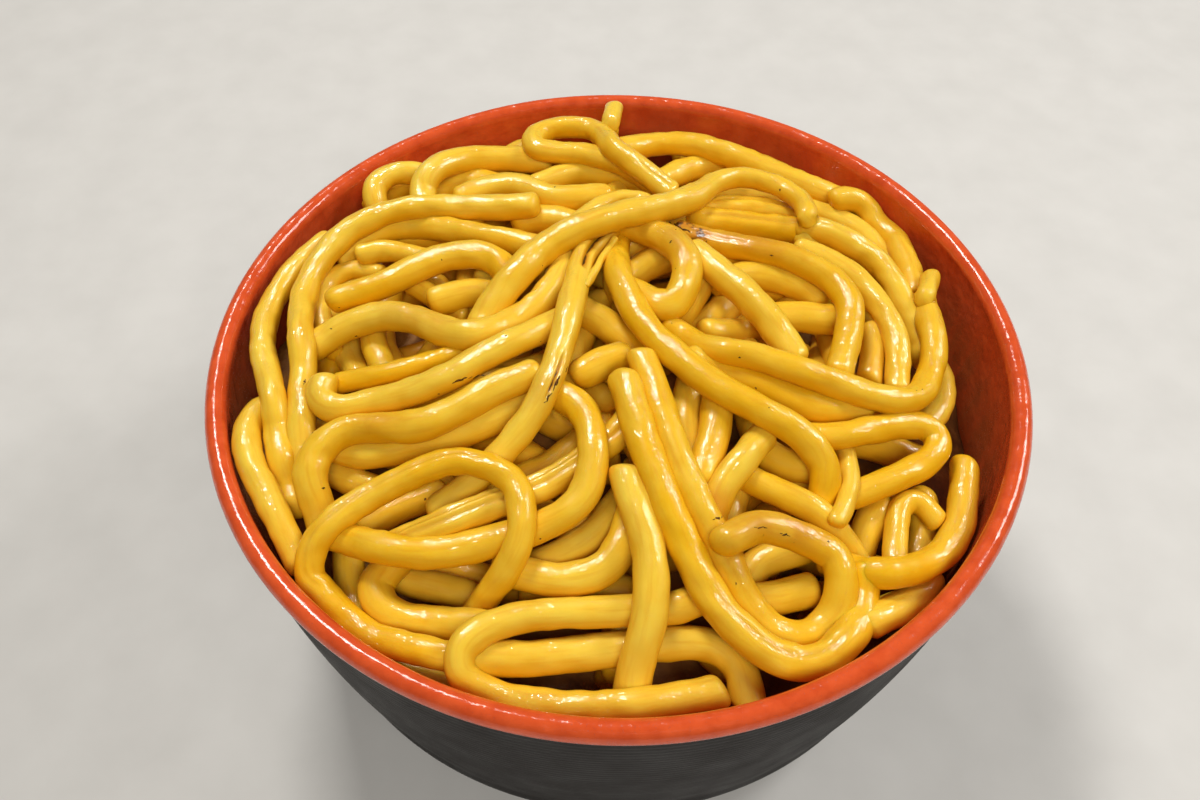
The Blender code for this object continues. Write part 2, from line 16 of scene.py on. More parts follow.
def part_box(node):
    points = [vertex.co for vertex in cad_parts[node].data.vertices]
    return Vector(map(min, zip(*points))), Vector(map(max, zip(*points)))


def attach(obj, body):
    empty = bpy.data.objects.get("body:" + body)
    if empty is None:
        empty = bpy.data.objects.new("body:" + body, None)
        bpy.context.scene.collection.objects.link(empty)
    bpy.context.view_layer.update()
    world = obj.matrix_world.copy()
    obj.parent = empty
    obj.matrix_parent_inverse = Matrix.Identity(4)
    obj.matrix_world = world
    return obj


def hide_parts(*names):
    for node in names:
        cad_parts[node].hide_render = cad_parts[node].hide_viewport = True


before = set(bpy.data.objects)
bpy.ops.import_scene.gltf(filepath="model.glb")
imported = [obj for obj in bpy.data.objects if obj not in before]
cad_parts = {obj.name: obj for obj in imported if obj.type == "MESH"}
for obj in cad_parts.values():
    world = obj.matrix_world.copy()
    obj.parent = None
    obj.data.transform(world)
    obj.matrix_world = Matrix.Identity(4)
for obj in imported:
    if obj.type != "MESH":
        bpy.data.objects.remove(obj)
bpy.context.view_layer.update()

METRES = 0.001

# The bowl, as packed
_, BOWL_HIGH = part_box("bowl")
RIM_RADIUS = round(BOWL_HIGH.x / METRES, 2)
BOWL_HEIGHT = round(BOWL_HIGH.z / METRES, 2)
BEAD_WIDTH = 4.0
BEAD_HEIGHT = 4.4
WALL_TOP_RADIUS = RIM_RADIUS - 1.0
WALL_TAPER = 0.0017
WALL_THICKNESS = 3.0
WALL_DEPTH = 58.0
BASE_DEPTH = 70.5
FLOOR_DEPTH = 66.0
CORNER_OUTSIDE = 10.0
CORNER_INSIDE = 9.0
FOOT_RADIUS = 39.0
FOOT_WIDTH = 4.5
FOOT_EDGE = 0.8
BOWL_SIDES = 256
LINING_DEPTHS = (54, 7, 40)  # from, to and how many rings, up the wall's inside
GROOVE_START = 0.6  # the turned lines outside, below the bead
GROOVE_STEP = 0.29
GROOVE_PITCH = 1.45
GROOVE_DEPTH = 0.07
RIM_UNEVEN = 0.10  # the rim's slight waves, and how far down they reach
RIM_UNEVEN_DEPTH = 6
SHARP_EDGE = 50  # degrees; edges that turn less are shaded smooth

# The heap's upper surface, as packed
CROWN = 9.0
EDGE = -5.0
EDGE_RISE_BACK = 4.0
EDGE_DROP_RIGHT = 3.0
HEAP_RADIUS = 72.0
HEAP_ROUNDNESS = 2.2
AXIS_DEPTH = 3.0
GAP = 0.3

# How the noodles are laid, as packed
EYE = np.array((0.0, -131.0, 149.0))
STEP = 3.0
PRESS = 0.86
LAYING_ROUNDS = 7
SETTLING_STEPS = 30
STIFFNESS = 0.28
PULL_TO_LEVEL = 0.05
FAR_ALONG = 2.5  # widths along a noodle before it can meet itself
CURVE_PARTS = 24

# The fine noodles
TUBE_SIDES = 24
FOLDED_SIDES = 72
RING_STEP = 0.8
DEEP_SIDES = 16  # the same for the noodles deeper down
DEEP_RING_STEP = 1.3
WAVES = 4  # that add up to each wandering value
SWELLING = (0.022, 18)  # each as a share of the radius, and over what length
OVALNESS = (0.035, 30)
CORNERS = (0.022, 24)
DENTS = 14  # waves of dents over the skin
DENT_LENGTHS = (2.6, 10.0)
DENT_DEPTH = 0.007  # of a dent 1 mm long
TONE_CHANGE = (0.16, 34)  # along a noodle, and over what length
SUNK_DEPTH = 20  # below the usual top, for the deepest tone: partly sauce-soaked noodle, partly painted shade
STREAKS_APART = 40.0  # parts one noodle's streaks from the next one's
END_REACH = (0.32, 0.60, 0.82, 0.95, 1.00)  # a rounded end's rings, as shares of its reach
END_SIZE = (0.97, 0.87, 0.68, 0.40, 0.12)
END_BLUNTNESS = (0.60, 0.95)  # the reach past the end, in radii
END_SLANT = (0.10, 0.50)  # how steeply the ends are cut

# The core under them
CORE_DEPTH = 17.0
CORE_GAP = 0.6
CORE_SIDES = 96
CORE_RINGS = 40
CORE_LUMPS = 1.1
CORE_WALL_DEPTHS = (30.0, 40.0, 50.0, 57.0)

# The camera and the lights, in metres, degrees and watts; the camera was fitted to the photo
CAMERA_PLACE = (0.0, -0.1308, 0.2248)
CAMERA_TURN = (37.61, -0.30, 1.93)
CAMERA_LENS = 30.0  # these three in mm
SENSOR_WIDTH = 36.0
FLOOR_HALF = 1600.0
WORLD_COLOUR = (1.0, 0.94, 0.85, 1)
WORLD_STRENGTH = 0.14
LAMPS = (  # name, place, aim, size, power, colour, if it mirrors
    ("key", (-0.22, 0.42, 0.80), (0, 0, 0.06), (0.20, 0.20), 4.7, (1.0, 0.97, 0.92), True),
    ("side", (0.55, 0.25, 0.55), (0, 0, 0.06), (0.20, 0.20), 2.4, (1.0, 0.98, 0.95), True),
    ("front", (0.12, -0.60, 0.75), (0, 0, 0.05), (0.60, 0.40), 4.4, (1.0, 0.97, 0.92), False),
)

# The routes are read from above, in a frame slightly wider than the bowl and behind it
ROUTE_SCALE = 0.979
ROUTE_SHIFT = (0.0, -2.1)

# Each noodle, lowest first: name, its width and its height above the usual level, each one
# value or several at even steps, and its route over the heap as (x, y) from the frame's middle
NOODLES = (
    ("left_outer", 5.2, (3, 6, 5, 3), ((-65.5, -17.5), (-68.5, -14.6), (-71.2, -16.5),
     (-71.8, -20.5), (-70, -26), (-66.6, -31), (-62.6, -37), (-56.6, -46))),
    ("left_inner", 4.4, -3, ((-57, -3), (-60.5, 3.5), (-62.5, 10.5), (-62, 16.5), (-57.5, 19.2),
     (-51.5, 17.3))),
    ("mid_lump", 6.4, -3, ((-22, 31), (-18, 31.7), (-13.5, 31), (-9, 29))),
    ("back_left_inner", 6.0, -3, ((-43, 44), (-37, 47.3), (-32, 47), (-26, 44))),
    ("back_left_loop", 5.4, (0, 4, 4, 0), ((-55, 38), (-57.5, 46), (-57.5, 51), (-54, 54),
     (-49.5, 53.5), (-45, 51))),
    ("back_left_arch", 5.9, (-2, 1, -1), ((-45, 41), (-46, 48), (-44.5, 54), (-40, 57.5),
     (-33, 58), (-24, 57), (-19, 55.5))),
    ("ring_middle", 6.0, -4, ((19, 37), (25, 39.5), (32, 40.3), (41, 39))),
    ("ring_front", 6.2, -3, ((17, 33), (24, 33.3), (32, 33.6), (42, 35))),
    ("back_right_short", 6.0, -3, ((40, 51), (46, 53), (53, 52))),
    ("back_sweep", 5.8, (-2, 1, 0), ((-4, 60), (2, 63.3), (9, 66.3), (17, 67.6), (24, 65.2),
     (32, 61.4), (42, 56.6), (53, 52.8))),
    ("right_back_inner", 4.8, -2, ((42, 45), (46.5, 44.3), (51.3, 43.2), (54.5, 41), (57, 38),
     (59, 33), (60.3, 28), (61.5, 22))),
    ("right_back_outer", 5.4, (-1, 0), ((51.5, 53.5), (54.8, 55.6), (58.9, 54.6), (61.5, 50),
     (63.6, 43.6), (64.6, 36.3), (65, 30.3), (64.6, 24))),
    ("back_row", 5.8, -3, ((-19, 45.3), (-12, 49.3), (-6, 49.6), (-1, 48.8), (4, 45.8),
     (9, 37.3))),
    ("back_hairpin", 5.2, (-1, -1, 0, 2, 4, 3, 1, -1), ((11, 40), (6, 47.5), (2, 52), (-3, 56),
     (-9, 58.8), (-15.5, 59.8), (-20.3, 61.5), (-22, 65.5), (-20.8, 70), (-17, 72.8), (-11, 73.4),
     (-6, 70), (-2.5, 62.5), (2.5, 55), (10.5, 43.5))),
    ("upright_tip", 4.4, (0, 5, 9), ((-4.1, 66), (-3.7, 75), (-2.9, 85.5))),
    ("back_wave", 6.0, -1, ((-36, 41), (-30, 44.5), (-24.5, 45), (-20, 42.5), (-16, 40),
     (-11, 39.5), (-5, 40))),
    ("back_crescent", 3.8, -1, ((-10, 30), (-7, 34.5), (-3.5, 38), (0.5, 40), (5, 39))),
    ("under_arch", 4.8, -2, ((-55.5, 24), (-51, 24.4), (-46, 22.5), (-40, 19.5))),
    ("second_row", 5.4, -1, ((-60, 23.4), (-56, 29.4), (-50, 31.9), (-44, 31.4), (-37, 29.4),
     (-30, 26.7), (-23, 24.1), (-15, 20.9))),
    ("left_rim", 5.1, (1, 3, 1), ((-65.5, 30), (-70.8, 23), (-73.4, 16), (-74.3, 8), (-73, 0),
     (-69.3, -9), (-66, -18), (-63.8, -25), (-59, -36))),
    ("left_sweep", 5.4, (0, 1, 1, 0, -1), ((-20, 37), (-26, 36.6), (-34, 37.2), (-42, 38.6),
     (-50, 38.8), (-56, 36.6), (-61, 32.5), (-64.8, 25.5), (-66.8, 16), (-65.8, 5), (-62.8, -6),
     (-61.4, -15), (-59, -25), (-57, -31))),
    ("left_arch", 5.8, (1, 1, 0), ((-58.5, 10.8), (-50, 13.3), (-43.5, 17.1), (-37, 20.2),
     (-31, 20.4), (-26, 18), (-22, 12))),
    ("ball", 6.4, -3, ((1.4, -8), (-1.4, -9.3), (-4, -10.8), (-6, -12.2))),
    ("arc_lump", 5.6, -3, ((21, 13), (26, 16), (31, 16.3), (36, 15), (41, 12))),
    ("arc_under", 6.2, -4, ((30, 4.5), (36, 6), (42, 6.7), (47, 9))),
    ("right_pale", 5.4, -3, ((64.4, 5), (66.4, -1), (65.4, -7), (61.4, -13))),
    ("right_under", 5.8, -1, ((14, -8.5), (20, -11), (27, -12.5), (33, -14.5), (39, -15.7),
     (47, -14))),
    ("right_short", 5.0, -3, ((52, 6.5), (51.3, 1), (49.7, -6))),
    ("middle_arc", 5.6, -1, ((41, 33), (45, 32.5), (50.3, 30.6), (54.6, 27.8), (57.1, 23.8),
     (58.7, 18.4), (59.6, 12.8))),
    ("inner_arc", 5.0, (1, 0), ((39, 27.5), (43.5, 26.5), (48, 24.3), (51.6, 20.8), (54, 16.5),
     (56, 12.2), (57, 7.2), (57, 2.3), (55.5, -7))),
    ("right_ring", 5.6, (0, 1, 1), ((41, 36.5), (46, 36.7), (50.5, 34.8), (55, 32.3), (58, 28.8),
     (59.8, 23.5), (61, 18), (62.5, 13), (63.7, 8.5), (63.3, 4))),
    ("slanted", 6.0, 1, ((15.5, 22), (20, 16.5), (24.5, 11.5), (29, 5.5), (34.5, -4.5))),
    ("curl", 6.2, (-2, 1, 0), ((0, 30.5), (6, 27.5), (10.5, 24.7), (13.3, 20.3), (13.7, 15),
     (12.3, 8.5), (9, 5), (2, 8.5))),
    ("mid_wave", 6.0, 0, ((-61, -1.5), (-57, 1.8), (-52, 3.8), (-46, 4.2), (-40, 2), (-33, -2),
     (-27, -2.7), (-21, 0), (-16, 5), (-12.5, 12), (-10, 21))),
    ("short_cut", 4.2, 2, ((-54, -11.5), (-47, -10.8), (-39, -9.4), (-31, -7.2))),
    ("speckled", 5.6, 0, ((-57.5, -11.1), (-57, -15.1), (-53, -17.6), (-46, -16.8), (-38, -15.1),
     (-31, -11.9), (-24, -7.1), (-12, -0.1))),
    ("under_hook", 5.4, -1, ((-51, -26.5), (-45, -28), (-37, -27), (-30, -25.6), (-21, -21.8),
     (-15, -17))),
    ("hook", 6.0, (1, 0, 0), ((-16.5, -12.8), (-23, -16), (-29, -19.7), (-36, -22.8),
     (-44, -22.6), (-50.5, -22.4), (-55.3, -25.4), (-56.5, -31), (-52, -41))),
    ("flat_diagonal", 5.2, (-1, 1, 1, -1), ((-3.5, 27), (-7.3, 20), (-8.8, 11), (-10, 1),
     (-11.4, -8), (-14, -18), (-18, -26), (-25, -34.5), (-31, -39))),
    ("mid_front", 5.4, -3, ((-18, -51), (-9, -47.5), (-3, -43.5), (2, -37))),
    ("smile", 6.0, -3, ((4, -38), (2, -45), (-2, -50), (-9, -51.6), (-18, -50))),
    ("streaky_pair", 5.4, -2, ((-38, -45), (-30, -42), (-20, -38.4), (-12, -35.3), (-4, -29.4),
     (0.5, -25.3), (4, -20))),
    ("centre_hook", 5.6, (0, 1, 0), ((-10.2, -17.6), (-6.6, -20.2), (-4.4, -25), (-3.9, -32),
     (-6, -38.3), (-12, -42.6), (-20, -45), (-30, -46.8), (-40, -45.6), (-51, -42))),
    ("inner_hairpin", 6.2, -1, ((-37, -47), (-41, -51.5), (-39.5, -55), (-34.5, -57.5),
     (-22, -59))),
    ("big_loop", 5.0, (0, 1, 2, 1, 0, -1), ((-25, -60.5), (-22.5, -56), (-17.5, -49),
     (-15.9, -42), (-17.8, -35), (-24, -31.4), (-31, -30.8), (-41, -34.6), (-50.3, -39.8),
     (-54.2, -45.5), (-51.4, -54), (-42, -59.5), (-26, -63.5))),
    ("inner_front", 6.0, -1, ((-23, -63.5), (-12, -63.5), (-2, -62.3), (9, -60.6), (17, -60.3),
     (22, -63), (24.5, -69))),
    ("front_loop", 5.4, 0, ((18, -52), (11, -55), (3, -56), (-7, -56.7), (-16, -57.6),
     (-22.8, -60), (-25.4, -64), (-22, -68.2), (-12, -70.2), (0, -70.2), (10, -68.6),
     (18.4, -66.8))),
    ("stub_row_two", 6.0, -2, ((19, -16), (18, -24), (15.5, -33))),
    ("short_diagonal", 5.4, 0, ((27.5, -23), (23, -29), (19, -35), (17, -41))),
    ("loop_arch", 5.0, (-1, 0), ((22, -31), (28, -33.5), (34, -35.2), (39, -38), (43.5, -43),
     (44.8, -48))),
    ("knot_mid", 6.2, -3, ((58, -30), (58, -36), (56, -41))),
    ("knot_arch", 4.4, (-1, 1, 0), ((60.6, -32.2), (57.1, -29.8), (53.6, -31.7), (52.2, -36.2),
     (51.1, -44.2))),
    ("low_right", 5.6, -3, ((46, -53), (52, -49.5), (59, -44))),
    ("right_curl", 5.4, (2, 3, 2, 0), ((68.8, -20), (67.6, -26), (65.6, -32.6), (60.7, -39),
     (53, -43.3), (45, -45), (38, -44.2))),
    ("right_hairpin", 5.3, (-1, 1, 1, -1), ((35, -22.3), (42, -20.8), (50, -17.3), (57.6, -14.3),
     (62.2, -14.1), (62.9, -17.4), (59.6, -21.8), (52, -27.2), (44, -32))),
    ("thin_edge", 3.6, -1, ((42.4, -22), (43.6, -27), (42.6, -33), (40.6, -37))),
    ("right_level", 5.4, (0, 1, 1, 2, 2, 1), ((10, -0.8), (16, -4.9), (25, -5.7), (35, -7.8),
     (45, -9.8), (54, -10), (60.6, -6.4), (64.4, 1), (66.6, 9.5), (66.4, 21))),
    ("right_spike", 3.9, (4, 2), ((70.4, 31.5), (69, 27.5), (67.5, 24), (65.8, 18.5), (64.5, 12))),
    ("long_s", 5.6, (-2, 1, 2, 1), ((-1, 25), (-0.7, 15), (1.4, 8), (5, 0), (10.5, -7),
     (18, -13.5), (27, -18.2), (34, -21.7), (38.5, -27.5), (37.5, -36))),
    ("front_upright", 6.0, (1, 2, 1), ((2, -33), (4, -39), (6.5, -47), (6.7, -56), (4.5, -65),
     (3.8, -71), (3.6, -74.5))),
    ("long_right", 5.6, (1, 2, 2, 2), ((4.6, -8.6), (6.8, -15), (9.6, -24), (12.8, -33),
     (18, -43), (24, -53.5), (30, -57.3), (36, -56), (40.3, -50.5), (40, -44), (34, -41.5),
     (26, -40.5), (20, -43.5))),
    ("long_left", 6.0, (2, 2, 2, 3), ((1.6, -14.5), (3.6, -22), (6.7, -31), (11, -41.5),
     (17, -52.5), (24, -58.7), (32, -61.2), (39, -58.7), (44, -52.5), (45, -46))),
    ("long_arch", (6.4, 6.4, 5.8, 4.6, 4.2), (0, 2, 2, 3, 1), ((-27, -1.5), (-25.5, 4), (-22, 12),
     (-16.5, 21), (-9, 28), (0, 33.3), (9, 37), (16, 42), (21, 49), (27, 53.6), (33.5, 53.8),
     (38.5, 51.1), (41.5, 47), (42, 42), (41.3, 36), (40, 29))),
    ("browned_arc", 5.5, (1, 2, 1), ((13, 28), (19, 25.8), (28, 24.8), (35, 24.2), (40.2, 22.4),
     (44.5, 19.6), (47.2, 15.6), (47.8, 11.5), (47.2, 7.3), (46.2, 2.9), (43.5, -6))),
)

# Ends that lie under every noodle they meet, whichever of the two is listed first
TUCKED_POINTS = 3
TUCKED_STARTS = ("left_inner", "second_row", "back_row", "upright_tip", "mid_wave",
                 "centre_hook", "inner_hairpin", "big_loop", "loop_arch", "right_level",
                 "thin_edge", "right_back_inner", "long_arch", "long_s", "browned_arc")
TUCKED_ENDS = ("left_rim", "left_sweep", "left_outer", "right_spike", "right_curl",
               "right_hairpin", "long_s", "long_left", "front_upright", "inner_front",
               "loop_arch", "long_arch", "browned_arc")

# Noodles that show in the gaps, under all of those above; likewise lowest first
LOW_NOODLES = (
    ("front_low", 5.6, -5, ((-46, -58), (-40, -64), (-30, -66), (-20, -66))),
    ("left_lump", 6.0, -3, ((-60, 10), (-60, 3), (-58, -4), (-56, -9))),
    ("shaded_row", 5.6, -4, ((-55, 1), (-53.5, -5), (-50, -11))),
    ("shaded_row_two", 5.2, -5, ((-49.5, 2), (-48, -4), (-45, -10))),
    ("back_pale", 6.0, -4, ((22, 57.5), (17, 55), (13, 52.5), (9, 48))),
    ("ring_back", 6.0, -4, ((22, 45), (28, 46.3), (34, 45), (40, 43))),
    ("thin_slant", 4.6, -3, ((-43, 13), (-38, 8.5), (-31, 2))),
    ("gap_lump", 6.0, -5, ((-37, 7), (-30, 8.7), (-24, 7))),
    ("deep_slope", 6.4, -6, ((-4, 5), (-7, -2), (-8.5, -8), (-9.5, -16))),
    ("deep_slope_two", 6.2, -6, ((-9, 4), (-3, 0), (1, -4), (6, -9))),
    ("curl_lump", 6.2, -6, ((10, 19.5), (6, 17), (3, 14), (-1, 10))),
    ("streaky_stub", 6.4, -4, ((23, 9), (19.5, 3.5), (16, -1))),
    ("stub_row", 6.0, -3, ((14, -14), (12.8, -21), (13, -30))),
    ("hollow_lump", 6.2, -4, ((28, -27), (32, -28.5), (38, -28))),
    ("loop_floor", 6.0, -4, ((22, -52), (26, -46.5), (34, -43))),
    ("loop_floor_two", 6.0, -3, ((23, -53), (28, -52), (34.5, -49.8))),
    ("knot_low", 6.0, -3, ((49, -33), (46, -38), (44, -43))),
    ("slant_row", 5.6, -5, ((27, 1.5), (23, -0.3), (18, -1))),
    ("loop_inside", 5.6, -7, ((-36, -51), (-30, -52.5), (-24, -54))),
    ("loop_inside_left", 5.6, -7, ((-47, -46), (-46, -51), (-44, -57))),
    ("loop_inside_top", 5.6, -7, ((-43, -41), (-38, -38.5), (-32, -36.5))),
    ("under_big_loop", 5.6, -4, ((-52, -30.5), (-48.5, -32.6), (-43, -35))),
    ("centre_hollow", 5.6, -7, ((-17, -34.5), (-11, -31.5), (-6, -27))),
    ("front_hollow", 5.6, -7, ((-14, -53.5), (-6, -53), (2, -53))),
    ("knot_side", 5.4, -5, ((57, -30), (57, -35), (55.5, -39))),
    ("knot_front", 5.4, -5, ((50, -50), (54, -48), (58, -45.5))),
    ("inner_floor", 5.6, -4, ((-58, 6), (-56.5, 11), (-54, 16))),
    ("under_back_left", 5.6, -4, ((-56, 42), (-52, 47), (-46, 48))),
)

# Which of the noodles are browner or paler than the rest
BROWNED = ("long_left", "long_right", "long_s", "hook", "right_level", "browned_arc",
           "right_curl", "right_hairpin", "big_loop", "short_cut", "second_row", "mid_lump",
           "curl", "ring_middle", "ring_front", "right_under", "ball", "stub_row_two",
           "centre_hook", "left_arch")
PALE = ("left_sweep", "mid_wave", "back_crescent", "inner_arc", "middle_arc", "right_pale",
        "short_diagonal", "low_right", "front_upright", "left_rim", "right_ring",
        "back_left_arch", "upright_tip", "flat_diagonal", "back_left_loop", "under_hook",
        "front_loop", "inner_front", "thin_edge", "speckled")

# Where a noodle is browned: its name, a place on it, how far that reaches and how strongly
BROWNED_PLACES = (
    ("browned_arc", (14, 29), 6.0, 0.95),
    ("browned_arc", (27, 25.5), 11.0, 0.55),
    ("long_right", (29, -41), 9.0, 0.60),
    ("short_diagonal", (18.5, -38), 4.0, 0.55),
    ("flat_diagonal", (-4, 24), 7.0, 0.25),
    ("flat_diagonal", (-12, -16), 6.0, 0.30),
    ("curl", (9, 26), 7.0, 0.4),
    ("mid_wave", (-42, 3), 7.0, 0.35),
    ("hook", (-45, -21.5), 5.0, 0.35),
    ("right_short", (50, 0), 6.0, 0.3),
)

# Burnt specks on top: where each is seen over the heap, its length, width and turn
BURNT_SPECKS = (
    ((-30.0, -13.5), 2.2, 0.9, 25), ((-26.7, -12.8), 2.4, 0.6, 10), ((-61.7, -10.0), 0.9, 0.6, 80),
    ((10.5, 24.7), 0.9, 0.5, 60), ((11.5, 30.6), 2.6, 1.0, -35), ((13.6, 29.2), 2.2, 0.8, -25),
    ((17.0, 28.3), 1.4, 0.6, -10), ((26.0, -40.6), 2.0, 0.5, 5), ((30.5, -41.2), 1.6, 0.5, -8),
    ((-11.3, -14.6), 2.6, 0.7, 70), ((-12.8, -18.2), 2.0, 0.5, 60), ((18.6, -39.8), 1.6, 0.5, 20),
    ((-9.6, -11.6), 1.2, 0.4, 75), ((32.0, 23.7), 0.7, 0.4, 0), ((-53.5, -33.5), 0.6, 0.5, 0),
)
SPECK_PARTS = ((0.0, 0.78), (0.42, 0.48), (-0.46, 0.40))  # place and size, as shares of it
FLAKE_SIDES = 11
FLAKE_RINGS = ((1.0, -0.08), (0.86, 0.02), (0.45, 0.05))  # size as a share, and rise in mm
RAGGEDNESS = 0.34
RANDOM_SPECKS = 24
RANDOM_REACH = 62
RANDOM_SIZES = (0.25, 0.55)

# Noodles with folds along them: name, where that starts and ends as shares of the length,
# the fold's turn round the noodle (90 is on top), its half width in degrees and its depth
# as a share of the radius
FOLDS = (
    ("flat_diagonal", 0.00, 0.24, 118, 17, 0.62),
    ("flat_diagonal", 0.51, 0.64, 128, 7, 0.42),
    ("browned_arc", 0.02, 0.30, 70, 13, 0.09),
    ("streaky_pair", 0.00, 1.00, 75, 14, 0.15),
    ("streaky_pair", 0.00, 0.80, 112, 12, 0.12),
    ("right_ring", 0.05, 0.60, 82, 15, 0.06),
    ("long_left", 0.50, 0.85, 96, 13, 0.10),
    ("big_loop", 0.35, 0.75, 84, 12, 0.08),
    ("back_hairpin", 0.86, 1.00, 92, 14, 0.14),
    ("ring_front", 0.10, 0.90, 80, 14, 0.14),
    ("ring_middle", 0.10, 0.90, 95, 14, 0.12),
)
FOLD_EDGE = 0.04  # how soon a fold deepens, as a share of the length
FOLD_SHADE = 2.4  # how far it darkens the skin toward brown, for its depth: painted shade in the crease

# The thin strip torn loose beside flat_diagonal: its radius, where it starts and ends as
# shares of that noodle's length, how far it stands off to the right and how high it lies
SLIVER_RADIUS = 0.8
SLIVER_SPAN = (0.02, 0.28)
SLIVER_OFFSETS = (3.5, 4.2, 3.5, 2.2)
SLIVER_LIFT = 0.9

# Noodles strewn deeper down, where only glimpses of them show
STREWN = 90
STREWN_WIDTHS = (5.2, 6.6)
STREWN_LENGTHS = (26.0, 60.0)
STREWN_RISES = (-13.0, -7.0)
STREWN_REACH = 63.0
STREWN_STEP = 6
STREWN_BEND = 0.035
STREWN_WOBBLE = 0.12
STREWN_MARGIN = 4  # a route ends this far past the reach

SEED = 11


def outside_radius(depth):
    """The wall's outer radius at a depth below the rim."""
    return WALL_TOP_RADIUS - WALL_TAPER * depth ** 2


def inside_radius(depth):
    """The bowl's inner radius at a depth below the rim, down to the rounded corner."""
    return outside_radius(depth) - WALL_THICKNESS


def reference_height(x, y):
    """Height above the rim of a top noodle's axis on the smooth form of the heap."""
    reach = np.hypot(x, y) / HEAP_RADIUS
    edge = EDGE + EDGE_RISE_BACK * y / HEAP_RADIUS - EDGE_DROP_RIGHT * x / HEAP_RADIUS
    return CROWN + (edge - CROWN) * reach ** HEAP_ROUNDNESS - AXIS_DEPTH


def smooth_curve(corners, step):
    """Points at even steps along a smooth curve through the corners, in any dimension."""
    p = np.array(corners, float)
    p = np.vstack((2 * p[0] - p[1], p, 2 * p[-1] - p[-2]))
    fine = []
    for a, b, c, d in zip(p, p[1:], p[2:], p[3:]):
        t = np.linspace(0, 1, CURVE_PARTS, endpoint=False)[:, None]
        fine.append(0.5 * (2 * b + (c - a) * t + (2 * a - 5 * b + 4 * c - d) * t ** 2
                           + (3 * b - a - 3 * c + d) * t ** 3))
    fine = np.vstack(fine + [p[-2:-1]])
    along = np.append(0, np.cumsum(np.linalg.norm(np.diff(fine, axis=0), axis=1)))
    stops = np.linspace(0, along[-1], max(3, round(along[-1] / step) + 1))
    return np.column_stack([np.interp(stops, along, column) for column in fine.T])


def spread(values, count):
    """One value, or values at even steps, spread over a noodle's points."""
    values = np.atleast_1d(values)
    return np.interp(np.linspace(0, 1, count), np.linspace(0, 1, len(values)), values)


def in_sight(plan, height):
    """Slides plan points along their lines of sight from the reference surface to a height."""
    usual = reference_height(plan[:, 0], plan[:, 1])
    share = (height - usual) / (EYE[2] - usual)
    return plan + (EYE[:2] - plan) * share[:, None]


def inside_wall(place, height, radius):
    """Draws points in where a noodle of that radius would touch the bowl."""
    reach = np.hypot(place[:, 0], place[:, 1])
    limit = inside_radius(np.maximum(-height, BEAD_HEIGHT)) - radius - GAP
    return place * np.minimum(1, limit / np.maximum(reach, 1))[:, None]


def tucked_points(noodles, sizes):
    """Which points belong to the ends that lie under every noodle they meet."""
    flags = [np.zeros(size, bool) for size in sizes]
    for (name, _, _, _), flag in zip(noodles, flags):
        if name in TUCKED_STARTS:
            flag[:TUCKED_POINTS] = True
        if name in TUCKED_ENDS:
            flag[-TUCKED_POINTS:] = True
    return np.concatenate(flags)


def crossings(place, radius, noodle, along, tucked, count):
    """Pairs of points (under, over) whose noodles cross, and the height that parts them.

    under is one of the first count points, which are the ones being laid."""
    low = place[:count]
    apart = np.hypot(low[:, None, 0] - place[None, :, 0], low[:, None, 1] - place[None, :, 1])
    room = PRESS * (radius[:count, None] + radius[None, :])
    own = noodle[:count, None] == noodle[None, :]
    far_along = np.abs(along[:count, None] - along[None, :]) > FAR_ALONG * room
    later = np.arange(len(place))[None, :] > np.arange(count)[:, None]
    first, second = np.nonzero(later & (apart < room) & (~own | far_along))
    needed = np.sqrt(room[first, second] ** 2 - apart[first, second] ** 2)
    swapped = tucked[second] & ~tucked[first]
    return np.where(swapped, second, first), np.where(swapped, first, second), needed


def lay(noodles, above=()):
    """Each noodle's name with its rows of axis point and radius, resting on those before it.

    above holds the noodles that are laid already and stay on top."""
    routes = [smooth_curve(route, STEP) for _, _, _, route in noodles]
    sizes = [len(route) for route in routes]
    plan = np.vstack(routes) * ROUTE_SCALE + ROUTE_SHIFT
    count = len(plan)
    noodle = np.repeat(np.arange(len(noodles)), sizes)
    along = np.concatenate([STEP * np.arange(size) for size in sizes])
    radius = np.concatenate([spread(widths, size) / 2
                             for size, (_, widths, _, _) in zip(sizes, noodles)])
    rise = np.concatenate([spread(rises, size) for size, (_, _, rises, _) in zip(sizes, noodles)])
    before = np.where(along > 0, np.arange(count) - 1, np.arange(count))
    after = np.where(np.append(along[1:], 0) > 0, np.arange(count) + 1, np.arange(count))
    fixed = np.vstack([np.empty((0, 4))] + [axis for _, axis in above])
    every_radius = np.append(radius, fixed[:, 3])
    every_noodle = np.append(noodle, np.full(len(fixed), -1))
    every_along = np.append(along, np.zeros(len(fixed)))
    tucked = np.append(tucked_points(noodles, sizes), np.zeros(len(fixed), bool))
    level = reference_height(plan[:, 0], plan[:, 1]) + rise
    height = level.copy()
    for _ in range(LAYING_ROUNDS):
        place = inside_wall(in_sight(plan, height), height, radius)
        under, over, needed = crossings(np.vstack((place, fixed[:, :2])), every_radius,
                                        every_noodle, every_along, tucked, count)
        gives = over < count
        share = np.where(gives, 0.5, 1.0)
        for _ in range(SETTLING_STEPS):
            every_height = np.append(height, fixed[:, 2])
            push = np.maximum(needed - (every_height[over] - every_height[under]), 0) * share
            up = np.zeros(count)
            down = np.zeros(count)
            np.maximum.at(up, over[gives], push[gives])
            np.maximum.at(down, under, push)
            height = height + up - down
            height += STIFFNESS * (height[before] + height[after] - 2 * height)
            height += PULL_TO_LEVEL * (level - height)
    place = inside_wall(in_sight(plan, height), height, radius)
    axes = np.split(np.column_stack((place, height, radius)), np.cumsum(sizes)[:-1])
    return [(noodle[0], axis) for noodle, axis in zip(noodles, axes)]


